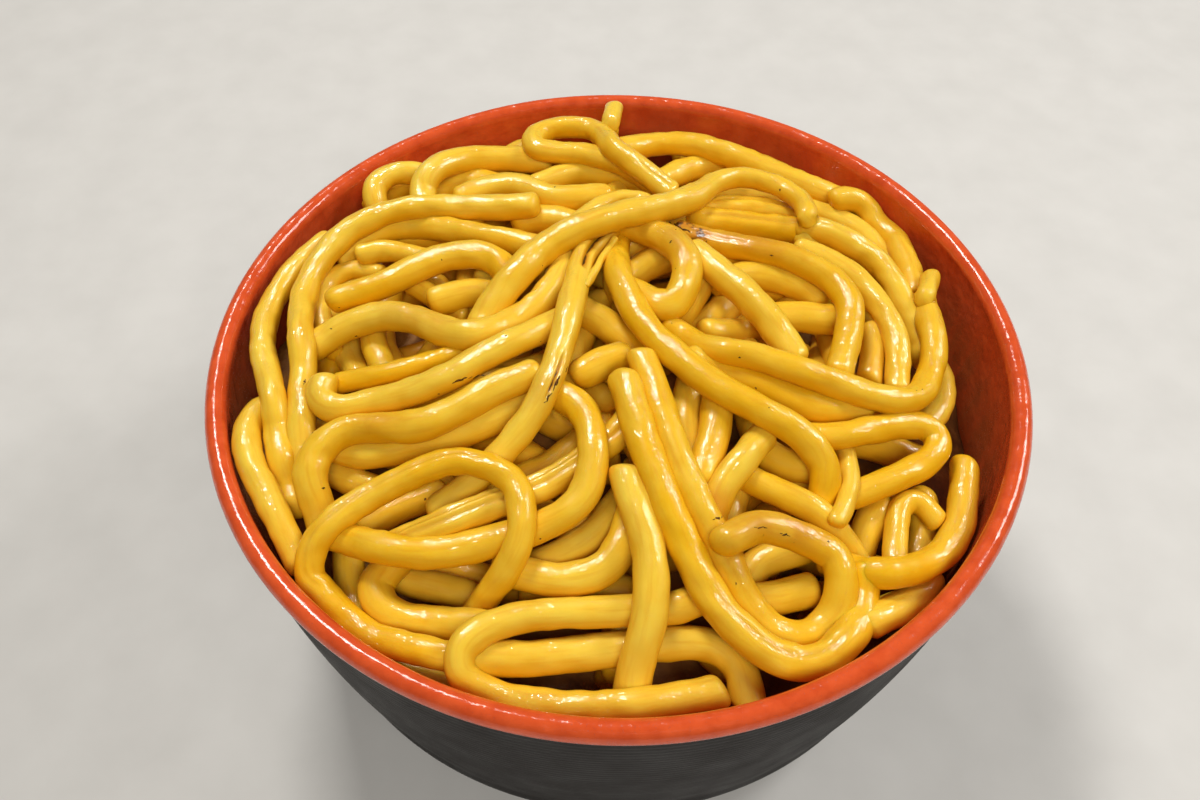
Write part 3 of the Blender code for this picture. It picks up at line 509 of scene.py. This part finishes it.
def strewn_noodles(draw):
    """Routes at random for the noodles deeper down."""
    made = []
    while len(made) < STREWN:
        reach = STREWN_REACH * np.sqrt(draw.random())
        turn = 2 * pi * draw.random()
        heading = 2 * pi * draw.random()
        bend = draw.normal(0, STREWN_BEND)
        length = draw.uniform(*STREWN_LENGTHS)
        place = np.array((reach * cos(turn), reach * sin(turn)))
        route = [place]
        for _ in range(int(length / STREWN_STEP)):
            heading += STREWN_STEP * bend + draw.normal(0, STREWN_WOBBLE)
            place = place + STREWN_STEP * np.array((cos(heading), sin(heading)))
            if np.hypot(*place) > STREWN_REACH + STREWN_MARGIN:
                break
            route.append(place)
        if len(route) > 3:
            made.append((f"strewn_{len(made)}", draw.uniform(*STREWN_WIDTHS),
                         draw.uniform(*STREWN_RISES), route))
    return made


def wander(at, reach, draw):
    """A smooth random value from about -1 to 1 along a line, changing over that reach."""
    lengths = reach * draw.uniform(0.7, 2.2, WAVES)
    starts = draw.uniform(0, 2 * pi, WAVES)
    return np.sin(2 * pi * at[:, None] / lengths + starts).sum(axis=1) / np.sqrt(WAVES)


def skin_relief(along, turn, draw):
    """Small dents and swellings of a noodle's skin over its length and turn, in millimetres."""
    relief = np.zeros((len(along), len(turn)))
    for _ in range(DENTS):
        length = draw.uniform(*DENT_LENGTHS) * draw.choice((-1, 1))
        round_it = draw.integers(0, 5)
        size = DENT_DEPTH * abs(length) ** 0.5
        relief += size * np.sin(2 * pi * along[:, None] / length + round_it * turn[None, :]
                                + draw.uniform(0, 2 * pi))
    return relief


def frames_along(points):
    """The direction, the side and the upward direction at each point of a line."""
    ahead = np.gradient(points, axis=0)
    ahead /= np.linalg.norm(ahead, axis=1)[:, None]
    side = np.cross(ahead, (0.0, 0.0, 1.0))
    side /= np.linalg.norm(side, axis=1)[:, None]
    return ahead, side, np.cross(side, ahead)


def fold_depth(folds, share, turn):
    """How much of the radius a noodle's folds take away over its length and turn."""
    depth = np.zeros((len(share), len(turn)))
    for start, end, place, half_width, deep in folds:
        window = (np.clip((share - start) / FOLD_EDGE, 0, 1)
                  * np.clip((end - share) / FOLD_EDGE, 0, 1))
        window = window * window * (3 - 2 * window)
        across = (np.degrees(turn) - place) / half_width
        depth += deep * window[:, None] * np.exp(-across ** 2)[None, :]
    return depth


def torn_sliver(axis):
    """The thin strip that hangs beside a torn noodle, as rows of axis point and radius."""
    line = smooth_curve(axis[:, :3], RING_STEP)
    _, side, up = frames_along(line)
    first, last = (round(share * len(line)) for share in SLIVER_SPAN)
    offsets = spread(SLIVER_OFFSETS, last - first)[:, None]
    strip = line[first:last] - side[first:last] * offsets + up[first:last] * SLIVER_LIFT
    return np.column_stack((strip, np.full(len(strip), SLIVER_RADIUS)))


def cut_slanting(rings, centres, along, ahead, side, up, radius, draw):
    """Leans each end of a noodle over at random, as cut noodles have it."""
    for end in (0, -1):
        lean = draw.uniform(0, 2 * pi)
        toward = cos(lean) * side[end] + sin(lean) * up[end]
        near = np.clip(1 - np.abs(along - along[end]) / (2 * radius), 0, 1)
        offset = (rings - centres[:, None, :]) @ toward
        slant = draw.uniform(*END_SLANT) * near[:, None] * offset
        rings = rings + slant[:, :, None] * ahead[end]
    return rings


def noodle_skin(name, axis, step, sides, draw):
    """The skin of one noodle: its rings of points, and their length, turn and fold depth."""
    fine = smooth_curve(axis, step)
    line = fine[:, :3]
    ahead, side, up = frames_along(line)
    reach = np.array(END_REACH)[:, None]
    first, last = fine[[0, -1], 3] * draw.uniform(*END_BLUNTNESS, 2)
    centres = np.vstack((line[0] - ahead[0] * first * reach[::-1], line,
                         line[-1] + ahead[-1] * last * reach))
    caps = len(END_REACH)
    radius = np.pad(fine[:, 3], caps, mode="edge")
    side, up = (np.pad(part, ((caps, caps), (0, 0)), mode="edge") for part in (side, up))
    along = np.append(0, np.cumsum(np.linalg.norm(np.diff(centres, axis=0), axis=1)))
    folds = [fold[1:] for fold in FOLDS if fold[0] == name]
    sides = FOLDED_SIDES if folds else sides
    turn = np.linspace(-pi / 2, 3 * pi / 2, sides + 1)[:-1]
    swell = 1 + SWELLING[0] * wander(along, SWELLING[1], draw)
    oval, corners = (size * np.cos(waves * (turn[None, :] + wander(along, length, draw)[:, None]))
                     for waves, (size, length) in ((2, OVALNESS), (3, CORNERS)))
    folded = fold_depth(folds, along / along[-1], turn)
    size = (radius * swell)[:, None] * (1 + oval + corners) * (1 - folded)
    size += skin_relief(along, turn, draw)
    size *= np.concatenate((END_SIZE[::-1], np.ones(len(line)), END_SIZE))[:, None]
    rings = (centres[:, None, :] + size[:, :, None]
             * (np.cos(turn)[None, :, None] * side[:, None, :]
                + np.sin(turn)[None, :, None] * up[:, None, :]))
    rings = cut_slanting(rings, centres, along, ahead, side, up, radius.mean(), draw)
    return rings, along, turn, folded


def browned_at(name, rings):
    """How browned each point of a noodle is, from the places listed for it."""
    x, y, z = np.moveaxis(rings, -1, 0)
    usual = reference_height(x, y)
    share = (z - usual) / (z - EYE[2])
    seen_x = x + (EYE[0] - x) * share
    seen_y = y + (EYE[1] - y) * share
    browned = np.zeros(x.shape)
    for owner, place, reach, strength in BROWNED_PLACES:
        if owner == name:
            place_x, place_y = np.array(place) * ROUTE_SCALE + ROUTE_SHIFT
            apart = np.hypot(seen_x - place_x, seen_y - place_y)
            browned = np.maximum(browned, strength * np.clip(1.4 - apart / reach, 0, 1))
    return browned


def noodle_piece(name, noodles, tones, material, draw, step=RING_STEP, sides=TUBE_SIDES):
    """One mesh of several noodles, each (name, axis), with what its shader reads."""
    points, faces, flow, tone, sunk, browned = [], [], [], [], [], []
    first = 0
    for number, (own_name, axis) in enumerate(noodles):
        rings, along, turn, folded = noodle_skin(own_name, axis, step, sides, draw)
        radius = axis[:, 3].mean()
        count = len(along)
        round_it = len(turn)
        points.append(rings.reshape(-1, 3))
        numbers = np.arange(first, first + count * round_it).reshape(count, round_it).tolist()
        faces += ring_faces(numbers) + [numbers[0], numbers[-1][::-1]]
        width = 2 * pi * radius / round_it
        corners = np.empty((count - 1, round_it, 4, 3))
        corners[..., 0] = along[np.arange(count - 1)[:, None] + np.array((0, 1, 1, 0))][:, None]
        corners[..., 1] = (np.arange(round_it)[:, None] + np.array((0, 0, 1, 1))) * width
        caps = np.empty((2, round_it, 3))
        caps[..., 0] = along[[0, -1], None]
        caps[..., 1] = np.arange(round_it) * width
        for part in (corners, caps):
            part[..., 2] = STREAKS_APART * number
            flow.append(part.reshape(-1, 3))
        level = draw.uniform(*tones) + TONE_CHANGE[0] * wander(along, TONE_CHANGE[1], draw)
        tone.append(np.repeat(level, round_it))
        usual = reference_height(rings[..., 0], rings[..., 1]) + radius
        sunk.append(np.clip((usual - rings[..., 2]) / SUNK_DEPTH, 0, 1).ravel())
        # Browning at the listed places, and painted shade darkening each fold
        browned.append(np.maximum(browned_at(own_name, rings), FOLD_SHADE * folded).ravel())
        first += count * round_it
    piece = mesh_piece(name, np.vstack(points), faces, [material])
    for kept, values in (("tone", tone), ("sunk", sunk), ("browned", browned)):
        add_values(piece, kept, "FLOAT", "POINT", np.concatenate(values))
    add_values(piece, "flow", "FLOAT_VECTOR", "CORNER", np.vstack(flow))
    return piece


def add_values(piece, name, kind, domain, values):
    """Stores a value for each point or corner of a mesh, for its shader to read."""
    layer = piece.data.attributes.new(name, kind, domain)
    layer.data.foreach_set("vector" if kind == "FLOAT_VECTOR" else "value",
                           values.astype(np.float32).ravel())


def mesh_piece(name, points, faces, materials):
    """A smooth mesh object from points in millimetres, z from the rim."""
    mesh = bpy.data.meshes.new(name)
    mesh.from_pydata(((np.array(points) + (0, 0, BOWL_HEIGHT)) * METRES).tolist(), [], faces)
    for material in materials:
        mesh.materials.append(material)
    mesh.shade_smooth()
    piece = bpy.data.objects.new(name, mesh)
    bpy.context.scene.collection.objects.link(piece)
    return piece


def ring_faces(rings):
    """Faces from each ring of point numbers to the next; a ring may be a single point."""
    sides = max(len(ring) for ring in rings)
    faces = []
    for first, second in zip(rings, rings[1:]):
        for k in range(sides):
            corners = (first[k % len(first)], second[k % len(second)],
                       second[(k + 1) % len(second)], first[(k + 1) % len(first)])
            faces.append(tuple(dict.fromkeys(corners)))
    return faces


def core_piece(material):
    """The heap's core, which fills the bowl under the noodles that show."""
    lift = AXIS_DEPTH - CORE_DEPTH
    turns = [2 * pi * k / CORE_SIDES for k in range(CORE_SIDES)]
    widest = inside_radius(CORE_DEPTH) - CORE_GAP
    points = [(0.0, 0.0, float(reference_height(0, 0)) + lift)]
    for ring in range(1, CORE_RINGS + 1):
        for turn in turns:
            x = widest * ring / CORE_RINGS * cos(turn)
            y = widest * ring / CORE_RINGS * sin(turn)
            lump = sin(x / 1.9 + 0.7 * sin(y / 3.1)) * sin(y / 2.3 + 1.1 * sin(x / 4.3))
            points.append((x, y, float(reference_height(x, y)) + lift + CORE_LUMPS * lump))
    lower = [(inside_radius(depth) - CORE_GAP, depth) for depth in CORE_WALL_DEPTHS]
    corner = inside_radius(WALL_DEPTH) - CORNER_INSIDE
    lower += arc(corner - GAP, FLOOR_DEPTH - CORNER_INSIDE, CORNER_INSIDE - GAP,
                 CORNER_INSIDE - GAP, -6, -90, 8)
    for radius, depth in lower:
        points += [(radius * cos(turn), radius * sin(turn), -depth) for turn in turns]
    rings = [[0]] + [list(range(first, first + CORE_SIDES))
                     for first in range(1, len(points), CORE_SIDES)]
    faces = ring_faces(rings) + [rings[-1][::-1]]
    return mesh_piece("heap_core", points, faces, [material])


def arc(radius, depth, across, along, start, end, count):
    """Points of an elliptical arc in a turned profile, as (radius, depth)."""
    angles = (radians(start + (end - start) * k / (count - 1)) for k in range(count))
    return [(radius + across * cos(a), depth - along * sin(a)) for a in angles]


def bowl_profile():
    """The bowl's section: from the middle of its inside over the rim, and from there outside."""
    inner_corner = inside_radius(WALL_DEPTH) - CORNER_INSIDE
    outer_corner = outside_radius(WALL_DEPTH) - CORNER_OUTSIDE
    bead_middle = RIM_RADIUS - BEAD_WIDTH / 2
    inside = [(0.0, FLOOR_DEPTH)]
    inside += arc(inner_corner, FLOOR_DEPTH - CORNER_INSIDE, CORNER_INSIDE, CORNER_INSIDE,
                  -90, -6, 14)
    inside += [(inside_radius(depth), depth) for depth in np.linspace(*LINING_DEPTHS)]
    bead = arc(bead_middle, BEAD_HEIGHT / 2, BEAD_WIDTH / 2, BEAD_HEIGHT / 2, 196, -62, 30)
    outside = []
    for depth in np.arange(BEAD_HEIGHT + GROOVE_START, WALL_DEPTH, GROOVE_STEP):
        groove = 0.5 - 0.5 * cos(2 * pi * depth / GROOVE_PITCH + 1.3 * sin(depth / 2.7))
        outside.append((outside_radius(depth) - GROOVE_DEPTH * groove, depth))
    outside += arc(outer_corner, BASE_DEPTH - CORNER_OUTSIDE, CORNER_OUTSIDE, CORNER_OUTSIDE,
                   8, -84, 16)
    inner_foot = FOOT_RADIUS - FOOT_WIDTH
    low = BOWL_HEIGHT - FOOT_EDGE
    outside += [(FOOT_RADIUS + FOOT_EDGE, BASE_DEPTH), (FOOT_RADIUS, low)]
    outside += arc(FOOT_RADIUS - FOOT_EDGE, low, FOOT_EDGE, FOOT_EDGE, -20, -90, 4)
    outside += arc(inner_foot + FOOT_EDGE, low, FOOT_EDGE, FOOT_EDGE, -90, -180, 5)
    outside += [(inner_foot - FOOT_EDGE, BASE_DEPTH), (0.0, BASE_DEPTH)]
    return inside + bead, outside


def bowl_piece(inner_material, outer_material):
    """The turned bowl: the first finish inside and over the rim, the second outside."""
    lining, outside = bowl_profile()
    points, rings = [], []
    for radius, depth in lining + outside:
        count = BOWL_SIDES if radius > 0 else 1
        rings.append([len(points) + k for k in range(count)])
        near_rim = max(0.0, 1 - depth / RIM_UNEVEN_DEPTH)
        for k in range(count):
            turn = 2 * pi * k / BOWL_SIDES
            wave = (sin(7 * turn + 1) + sin(11 * turn) + sin(4 * turn + 2)) / 3
            points.append((radius * cos(turn), radius * sin(turn),
                           RIM_UNEVEN * near_rim * (wave - 0.5) - depth))
    faces = ring_faces(rings)
    lined = BOWL_SIDES * (len(lining) - 1)
    piece = mesh_piece("bowl_turned", points, faces, [inner_material, outer_material])
    piece.data.polygons.foreach_set("material_index", [0] * lined + [1] * (len(faces) - lined))
    piece.data.set_sharp_from_angle(angle=radians(SHARP_EDGE))
    return piece


def seen_on(tree, plan):
    """Where the line of sight through a plan point on the heap's surface meets the noodles."""
    eye = Vector((EYE[0], EYE[1], EYE[2] + BOWL_HEIGHT)) * METRES
    height = float(reference_height(*plan))
    aim = Vector((plan[0], plan[1], height + BOWL_HEIGHT)) * METRES
    place, normal, _, _ = tree.ray_cast(eye, (aim - eye).normalized())
    return place, normal


def joined_tree(pieces):
    """A search tree over the faces of several pieces."""
    points, faces = [], []
    for piece in pieces:
        first = len(points)
        points += [vertex.co.copy() for vertex in piece.data.vertices]
        faces += [[first + corner for corner in face.vertices] for face in piece.data.polygons]
    return BVHTree.FromPolygons(points, faces)


def specks_piece(tree, material, draw):
    """Burnt specks as thin ragged flakes on the noodles: the seen ones and some at random."""
    listed = []
    for place, length, width, turn in BURNT_SPECKS:
        middle = Vector(place) * ROUTE_SCALE + Vector(ROUTE_SHIFT)
        for share, size in SPECK_PARTS:
            offset = length * (share + draw.uniform(-0.08, 0.08))
            listed.append((middle + Vector((cos(radians(turn)), sin(radians(turn)))) * offset,
                           length * size, width * size * draw.uniform(0.7, 1.1),
                           radians(turn) + draw.uniform(-0.5, 0.5)))
    for _ in range(RANDOM_SPECKS):
        reach = RANDOM_REACH * np.sqrt(draw.random())
        turn = 2 * pi * draw.random()
        size = draw.uniform(*RANDOM_SIZES)
        listed.append((Vector((reach * cos(turn), reach * sin(turn))), size,
                       size * draw.uniform(0.4, 0.9), pi * draw.random()))
    points, faces = [], []
    for plan, length, width, turn in listed:
        place, normal = seen_on(tree, plan)
        if place is None:
            continue
        across = Vector((cos(turn), sin(turn), 0)).cross(normal).normalized()
        ahead = normal.cross(across)
        rings = []
        for size, rise in FLAKE_RINGS:
            rings.append([len(points) + k for k in range(FLAKE_SIDES)])
            for k in range(FLAKE_SIDES):
                angle = 2 * pi * k / FLAKE_SIDES
                ragged = RAGGEDNESS * sin(3 * angle + length * 9) * cos(5 * angle + turn)
                offset = ahead * (cos(angle) * length / 2) + across * (sin(angle) * width / 2)
                flake = place / METRES + offset * size * (1 + ragged) + normal * rise
                points.append((flake.x, flake.y, flake.z - BOWL_HEIGHT))
        faces += ring_faces(rings[::-1]) + [rings[-1], rings[0][::-1]]
    return mesh_piece("burnt_specks", points, faces, [material])


# The noodles' colours, with painted shade for undersides, folds and deeper noodles among them, and
# the depth of the ripples in their wet film in metres
PALE_FLESH = (0.84, 0.58, 0.055, 1)
FLESH = (0.79, 0.44, 0.005, 1)
STREAK = (0.68, 0.29, 0.002, 1)
TOASTED_AND_CREASE_SHADE = (0.50, 0.17, 0.008, 1)
CHARRED = (0.070, 0.026, 0.006, 1)
PAINTED_UNDERSIDE_SHADE = (0.76, 0.37, 0.002, 1)
SUNK_SAUCE_AND_SHADE = (0.60, 0.27, 0.010, 1)
FILM_DEPTH = 0.00021

# The other colours, and how the wall's streaks of painted reflection are laid out: its radius in
# metres, and the share of its height that counts
DARK_SAUCE_AND_SHADE = (0.150, 0.055, 0.014, 1)
SAUCE = (0.330, 0.145, 0.030, 1)
BURNT = (0.050, 0.020, 0.005, 1)
SCORCHED = (0.160, 0.062, 0.012, 1)
RED = (0.60, 0.070, 0.014, 1)
LIGHT_RED = (0.70, 0.095, 0.022, 1)
SHADE_AND_REFLECTION_RED = (0.42, 0.078, 0.018, 1)
PORE_RED = (0.30, 0.03, 0.01, 1)
BLACK = (0.010, 0.0085, 0.0080, 1)
CHARCOAL = (0.016, 0.0135, 0.0125, 1)
DUST = (0.026, 0.022, 0.020, 1)
WALL_RADIUS_SEEN = 0.075
STREAK_STRETCH = 0.10


class Shader:
    """A new material whose nodes are added by kind, with their inputs given as values or links."""

    def __init__(self, name):
        self.material = bpy.data.materials.new(name)
        self.material.use_nodes = True
        self.tree = self.material.node_tree
        self.surface = self.tree.nodes["Principled BSDF"]

    def set(self, node, inputs):
        for name, value in inputs.items():
            if isinstance(value, bpy.types.NodeSocket):
                self.tree.links.new(value, node.inputs[name])
            else:
                node.inputs[name].default_value = value

    def add(self, kind, inputs, **settings):
        node = self.tree.nodes.new("ShaderNode" + kind)
        for name, value in settings.items():
            setattr(node, name, value)
        self.set(node, inputs)
        return node

    def value(self, name):
        """A value stored on the mesh."""
        return self.add("Attribute", {}, attribute_name=name).outputs["Fac"]

    def place(self, name=None):
        """A place stored on the mesh, or else the point's own place in metres."""
        if name:
            return self.add("Attribute", {}, attribute_name=name).outputs["Vector"]
        return self.add("NewGeometry", {}).outputs["Position"]

    def maths(self, operation, first, second):
        return self.add("Math", {0: first, 1: second}, operation=operation).outputs[0]

    def plus(self, first, second):
        return self.maths("ADD", first, second)

    def times(self, first, second):
        return self.maths("MULTIPLY", first, second)

    def split(self, vector):
        return self.add("SeparateXYZ", {"Vector": vector}).outputs

    def scaled(self, place, scale):
        return self.add("VectorMath", {0: place, 1: scale}, operation="MULTIPLY").outputs[0]

    def noise(self, place, scale, detail=2.0, roughness=0.5):
        return self.add("TexNoise", {"Vector": place, "Scale": scale, "Detail": detail,
                                     "Roughness": roughness}).outputs["Fac"]

    def span(self, value, low, high, to_low=0.0, to_high=1.0, smooth=False):
        """A value mapped from one span to another, and kept inside it."""
        return self.add("MapRange", {"Value": value, "From Min": low, "From Max": high,
                                     "To Min": to_low, "To Max": to_high},
                        interpolation_type="SMOOTHSTEP" if smooth else "LINEAR").outputs[0]

    def mix(self, share, first, second):
        """Two colours mixed."""
        node = self.add("Mix", {}, data_type="RGBA", clamp_factor=True)
        self.set(node, {0: share, 6: first, 7: second})
        return node.outputs[2]

    def bump(self, height, distance):
        return self.add("Bump", {"Height": height, "Distance": distance,
                                 "Strength": 1.0}).outputs[0]

    def finish(self, **inputs):
        """Sets the surface's inputs, named with _ for a space, and returns the material."""
        self.set(self.surface, {name.replace("_", " "): value for name, value in inputs.items()})
        return self.material


def noodle_material():
    """Cooked wheat noodle: satin flesh under a thin wet film that glints along the top, with
    painted shade on its undersides, in its folds and deeper in the heap.
    """
    made = Shader("noodle_flesh")
    place = made.place()
    flow = made.place("flow")
    cloud = made.noise(place, 210.0, 3.0)
    tone = made.plus(made.value("tone"), made.span(cloud, 0.3, 0.7, -0.22, 0.22))
    colour = made.mix(made.span(tone, 0.0, 1.0), PALE_FLESH, FLESH)
    streak = made.noise(made.scaled(flow, (0.10, 0.9, 1.0)), 1.0)
    colour = made.mix(made.span(streak, 0.50, 0.75, 0.0, 0.45), colour, STREAK)
    mottle = made.noise(place, 1500.0)
    colour = made.mix(made.span(mottle, 0.35, 0.7, 0.0, 0.10), colour, PALE_FLESH)
    # Browning: real at the listed places, painted shade in the folds
    toast_and_crease_shade = made.times(made.value("browned"), made.span(cloud, 0.3, 0.6, 0.5, 1.1))
    colour = made.mix(toast_and_crease_shade, colour, TOASTED_AND_CREASE_SHADE)
    char = made.span(made.plus(toast_and_crease_shade, made.noise(place, 900.0, 3.0)), 1.25, 1.45)
    colour = made.mix(char, colour, CHARRED)
    # Painted shade: the flesh turns darker amber on the sides and undersides that face down, away
    # from the lamps.
    facing = made.split(made.add("NewGeometry", {}).outputs["Normal"])["Z"]
    under = made.span(facing, 0.85, 0.05, 0.0, 0.85)
    colour = made.mix(under, colour, PAINTED_UNDERSIDE_SHADE)
    # Deeper noodles turn darker amber: partly a sauce-soaked tone, partly painted shade in the
    # heap's depths.
    sunk = made.span(made.value("sunk"), 0.25, 0.85, smooth=True)
    colour = made.mix(sunk, colour, SUNK_SAUCE_AND_SHADE)
    crest = made.span(facing, 0.55, 0.9)
    bands = made.noise(made.scaled(flow, (0.12, 0.40, 1.0)), 1.0)
    patches = made.times(crest, made.span(bands, 0.34, 0.50))
    blobs = made.noise(made.scaled(flow, (1.1, 1.6, 1.0)), 1.0, 1.0)
    skin = made.times(blobs, made.span(patches, 0.0, 1.0, 0.04, 1.0))
    film = made.span(patches, 0.0, 1.0, 0.12, 1.0)
    dull = made.span(sunk, 0.0, 1.0, 1.0, 0.2)
    return made.finish(Base_Color=colour, Roughness=made.span(cloud, 0.3, 0.7, 0.32, 0.42),
                       IOR=1.40, Specular_IOR_Level=0.4, Normal=made.bump(skin, FILM_DEPTH * 0.15),
                       Coat_Normal=made.bump(skin, FILM_DEPTH),
                       Coat_Weight=made.times(film, dull),
                       Coat_Roughness=0.08, Coat_IOR=1.5,
                       Subsurface_Weight=0.35, Subsurface_Radius=(1.0, 0.62, 0.24),
                       Subsurface_Scale=0.0008)


def core_material():
    """Sauce and crushed noodle deep in the heap, moist, and dark partly as painted shade for the
    deep gaps.
    """
    made = Shader("sauce_and_painted_shade")
    place = made.place()
    patch = made.span(made.noise(place, 160.0, 3.0), 0.35, 0.65)
    # The dark browns are sauce, kept dark partly as painted shade in the gaps between the noodles.
    colour = made.mix(patch, DARK_SAUCE_AND_SHADE, SAUCE)
    return made.finish(Base_Color=colour, Roughness=made.span(patch, 0.0, 1.0, 0.55, 0.75),
                       Normal=made.bump(made.noise(place, 700.0), 0.0003))


def red_lacquer():
    """Glossy red inside and on the rim, with painted shade that browns it lower in the bowl and
    streaks of painted reflection there.
    """
    made = Shader("red_lacquer")
    place = made.place()
    parts = made.split(place)
    height = parts["Z"]
    around = made.maths("ARCTAN2", parts["Y"], parts["X"])
    wall = made.add("CombineXYZ", {"X": made.times(around, WALL_RADIUS_SEEN),
                                   "Y": made.times(height, STREAK_STRETCH)})
    streaks = made.noise(wall.outputs[0], 260.0)
    # Painted shade: the wall darkens and browns lower in the bowl, with vertical streaks of
    # painted reflection of the noodles.
    down = made.span(height, 0.0725, 0.0610)
    colour = made.mix(made.span(made.noise(place, 300.0, 3.0), 0.35, 0.65), RED, LIGHT_RED)
    shade_and_reflection_streaks = made.times(down, made.span(streaks, 0.35, 0.62, 0.55, 1.0))
    colour = made.mix(shade_and_reflection_streaks, colour, SHADE_AND_REFLECTION_RED)
    pores = made.span(made.noise(place, 2600.0), 0.62, 0.72)
    colour = made.mix(made.times(pores, 0.35), colour, PORE_RED)
    uneven = made.plus(made.noise(place, 240.0),
                       made.times(made.noise(place, 1700.0, 1.0), 0.08))
    rough = made.plus(made.span(streaks, 0.3, 0.7, 0.10, 0.26), made.times(pores, 0.2))
    return made.finish(Base_Color=colour, Roughness=rough, Normal=made.bump(uneven, 0.00042),
                       IOR=1.5, Specular_IOR_Level=0.35, Coat_Weight=0.3, Coat_Roughness=0.06)


def black_lacquer():
    """Satin charcoal outside, with fine turned lines and a little dust."""
    made = Shader("black_lacquer")
    place = made.place()
    rings = made.add("CombineXYZ", {"Z": made.split(place)["Z"]})
    lines = made.noise(rings.outputs[0], 1900.0, 2.0, 0.7)
    cloud = made.noise(place, 120.0, 3.0)
    colour = made.mix(made.span(cloud, 0.35, 0.65), BLACK, CHARCOAL)
    colour = made.mix(made.span(lines, 0.45, 0.7, 0.0, 0.5), colour, DUST)
    grain = made.noise(place, 2400.0)
    skin = made.plus(lines, made.times(grain, 0.25))
    return made.finish(Base_Color=colour, Roughness=made.span(cloud, 0.3, 0.7, 0.44, 0.6),
                       Normal=made.bump(skin, 0.00010), IOR=1.5, Specular_IOR_Level=0.20)


def burnt_material():
    """Burnt flakes: near black and brown, and dull."""
    made = Shader("burnt")
    patch = made.noise(made.place(), 2200.0)
    colour = made.mix(made.span(patch, 0.4, 0.6), BURNT, SCORCHED)
    return made.finish(Base_Color=colour, Roughness=0.6, Specular_IOR_Level=0.12,
                       Normal=made.bump(patch, 0.0001))


def floor_material():
    """A plain pale floor."""
    made = Shader("pale_floor")
    fleck = made.noise(made.place(), 60.0, 4.0)
    colour = made.mix(made.span(fleck, 0.3, 0.7), (0.60, 0.59, 0.57, 1), (0.64, 0.63, 0.61, 1))
    return made.finish(Base_Color=colour, Roughness=0.7)


def dress(piece, slot, *nodes):
    """Lets a piece ride on the part's one body and stand for nodes; slot is not used."""
    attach(piece, "root")
    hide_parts(*nodes)


def add_floor():
    """The floor, which the bowl stands on."""
    corners = ((-1, -1), (1, -1), (1, 1), (-1, 1))
    points = [(x * FLOOR_HALF, y * FLOOR_HALF, -BOWL_HEIGHT) for x, y in corners]
    mesh_piece("floor", points, [(0, 1, 2, 3)], [floor_material()])


def add_lamp(name, place, aim, size, power, colour, mirrored):
    """A soft light turned to an aim; one that isn't mirrored leaves no shine."""
    lamp = bpy.data.lights.new(name, "AREA")
    lamp.shape = "RECTANGLE"
    lamp.size, lamp.size_y = size
    lamp.energy = power
    lamp.color = colour
    holder = bpy.data.objects.new(name, lamp)
    holder.location = place
    holder.rotation_euler = (Vector(aim) - Vector(place)).to_track_quat("-Z", "Y").to_euler()
    holder.visible_glossy = mirrored
    bpy.context.scene.collection.objects.link(holder)


def add_world():
    """Even, slightly warm light from all round."""
    world = bpy.data.worlds.new("studio")
    world.use_nodes = True
    background = world.node_tree.nodes["Background"]
    background.inputs["Color"].default_value = WORLD_COLOUR
    background.inputs["Strength"].default_value = WORLD_STRENGTH
    bpy.context.scene.world = world


def add_camera():
    """The camera at the photo's viewing angle: above the front of the bowl, looking down."""
    data = bpy.data.cameras.new("camera")
    data.sensor_width = SENSOR_WIDTH
    data.lens = CAMERA_LENS
    camera = bpy.data.objects.new("camera", data)
    camera.location = CAMERA_PLACE
    camera.rotation_euler = [radians(angle) for angle in CAMERA_TURN]
    bpy.context.scene.collection.objects.link(camera)
    bpy.context.scene.camera = camera


def main():
    bpy.context.scene.view_settings.view_transform = "Standard"
    draw = np.random.default_rng(SEED)
    top = lay(NOODLES)
    low = lay(LOW_NOODLES, top)
    deep = lay(strewn_noodles(draw), top + low)
    golden = [laid for laid in top if laid[0] not in BROWNED + PALE]
    browned = [laid for laid in top if laid[0] in BROWNED]
    pale = [laid for laid in top if laid[0] in PALE]
    pale.append(("torn_sliver", torn_sliver(dict(top)["flat_diagonal"])))
    flesh = noodle_material()
    pieces = [noodle_piece("noodles_golden", golden, (0.30, 0.62), flesh, draw),
              noodle_piece("noodles_browned", browned, (0.55, 0.95), flesh, draw),
              noodle_piece("noodles_pale", pale, (0.05, 0.40), flesh, draw),
              noodle_piece("noodles_below", low, (0.25, 0.65), flesh, draw),
              noodle_piece("noodles_deep", deep, (0.25, 0.65), flesh, draw, DEEP_RING_STEP,
                           DEEP_SIDES)]
    pieces.append(specks_piece(joined_tree(pieces), burnt_material(), draw))
    pieces.append(core_piece(core_material()))
    for piece in pieces:
        dress(piece, "noodles", "noodle_heap")
    dress(bowl_piece(red_lacquer(), black_lacquer()), "bowl", "bowl")
    add_floor()
    add_world()
    for lamp in LAMPS:
        add_lamp(*lamp)
    add_camera()


main()
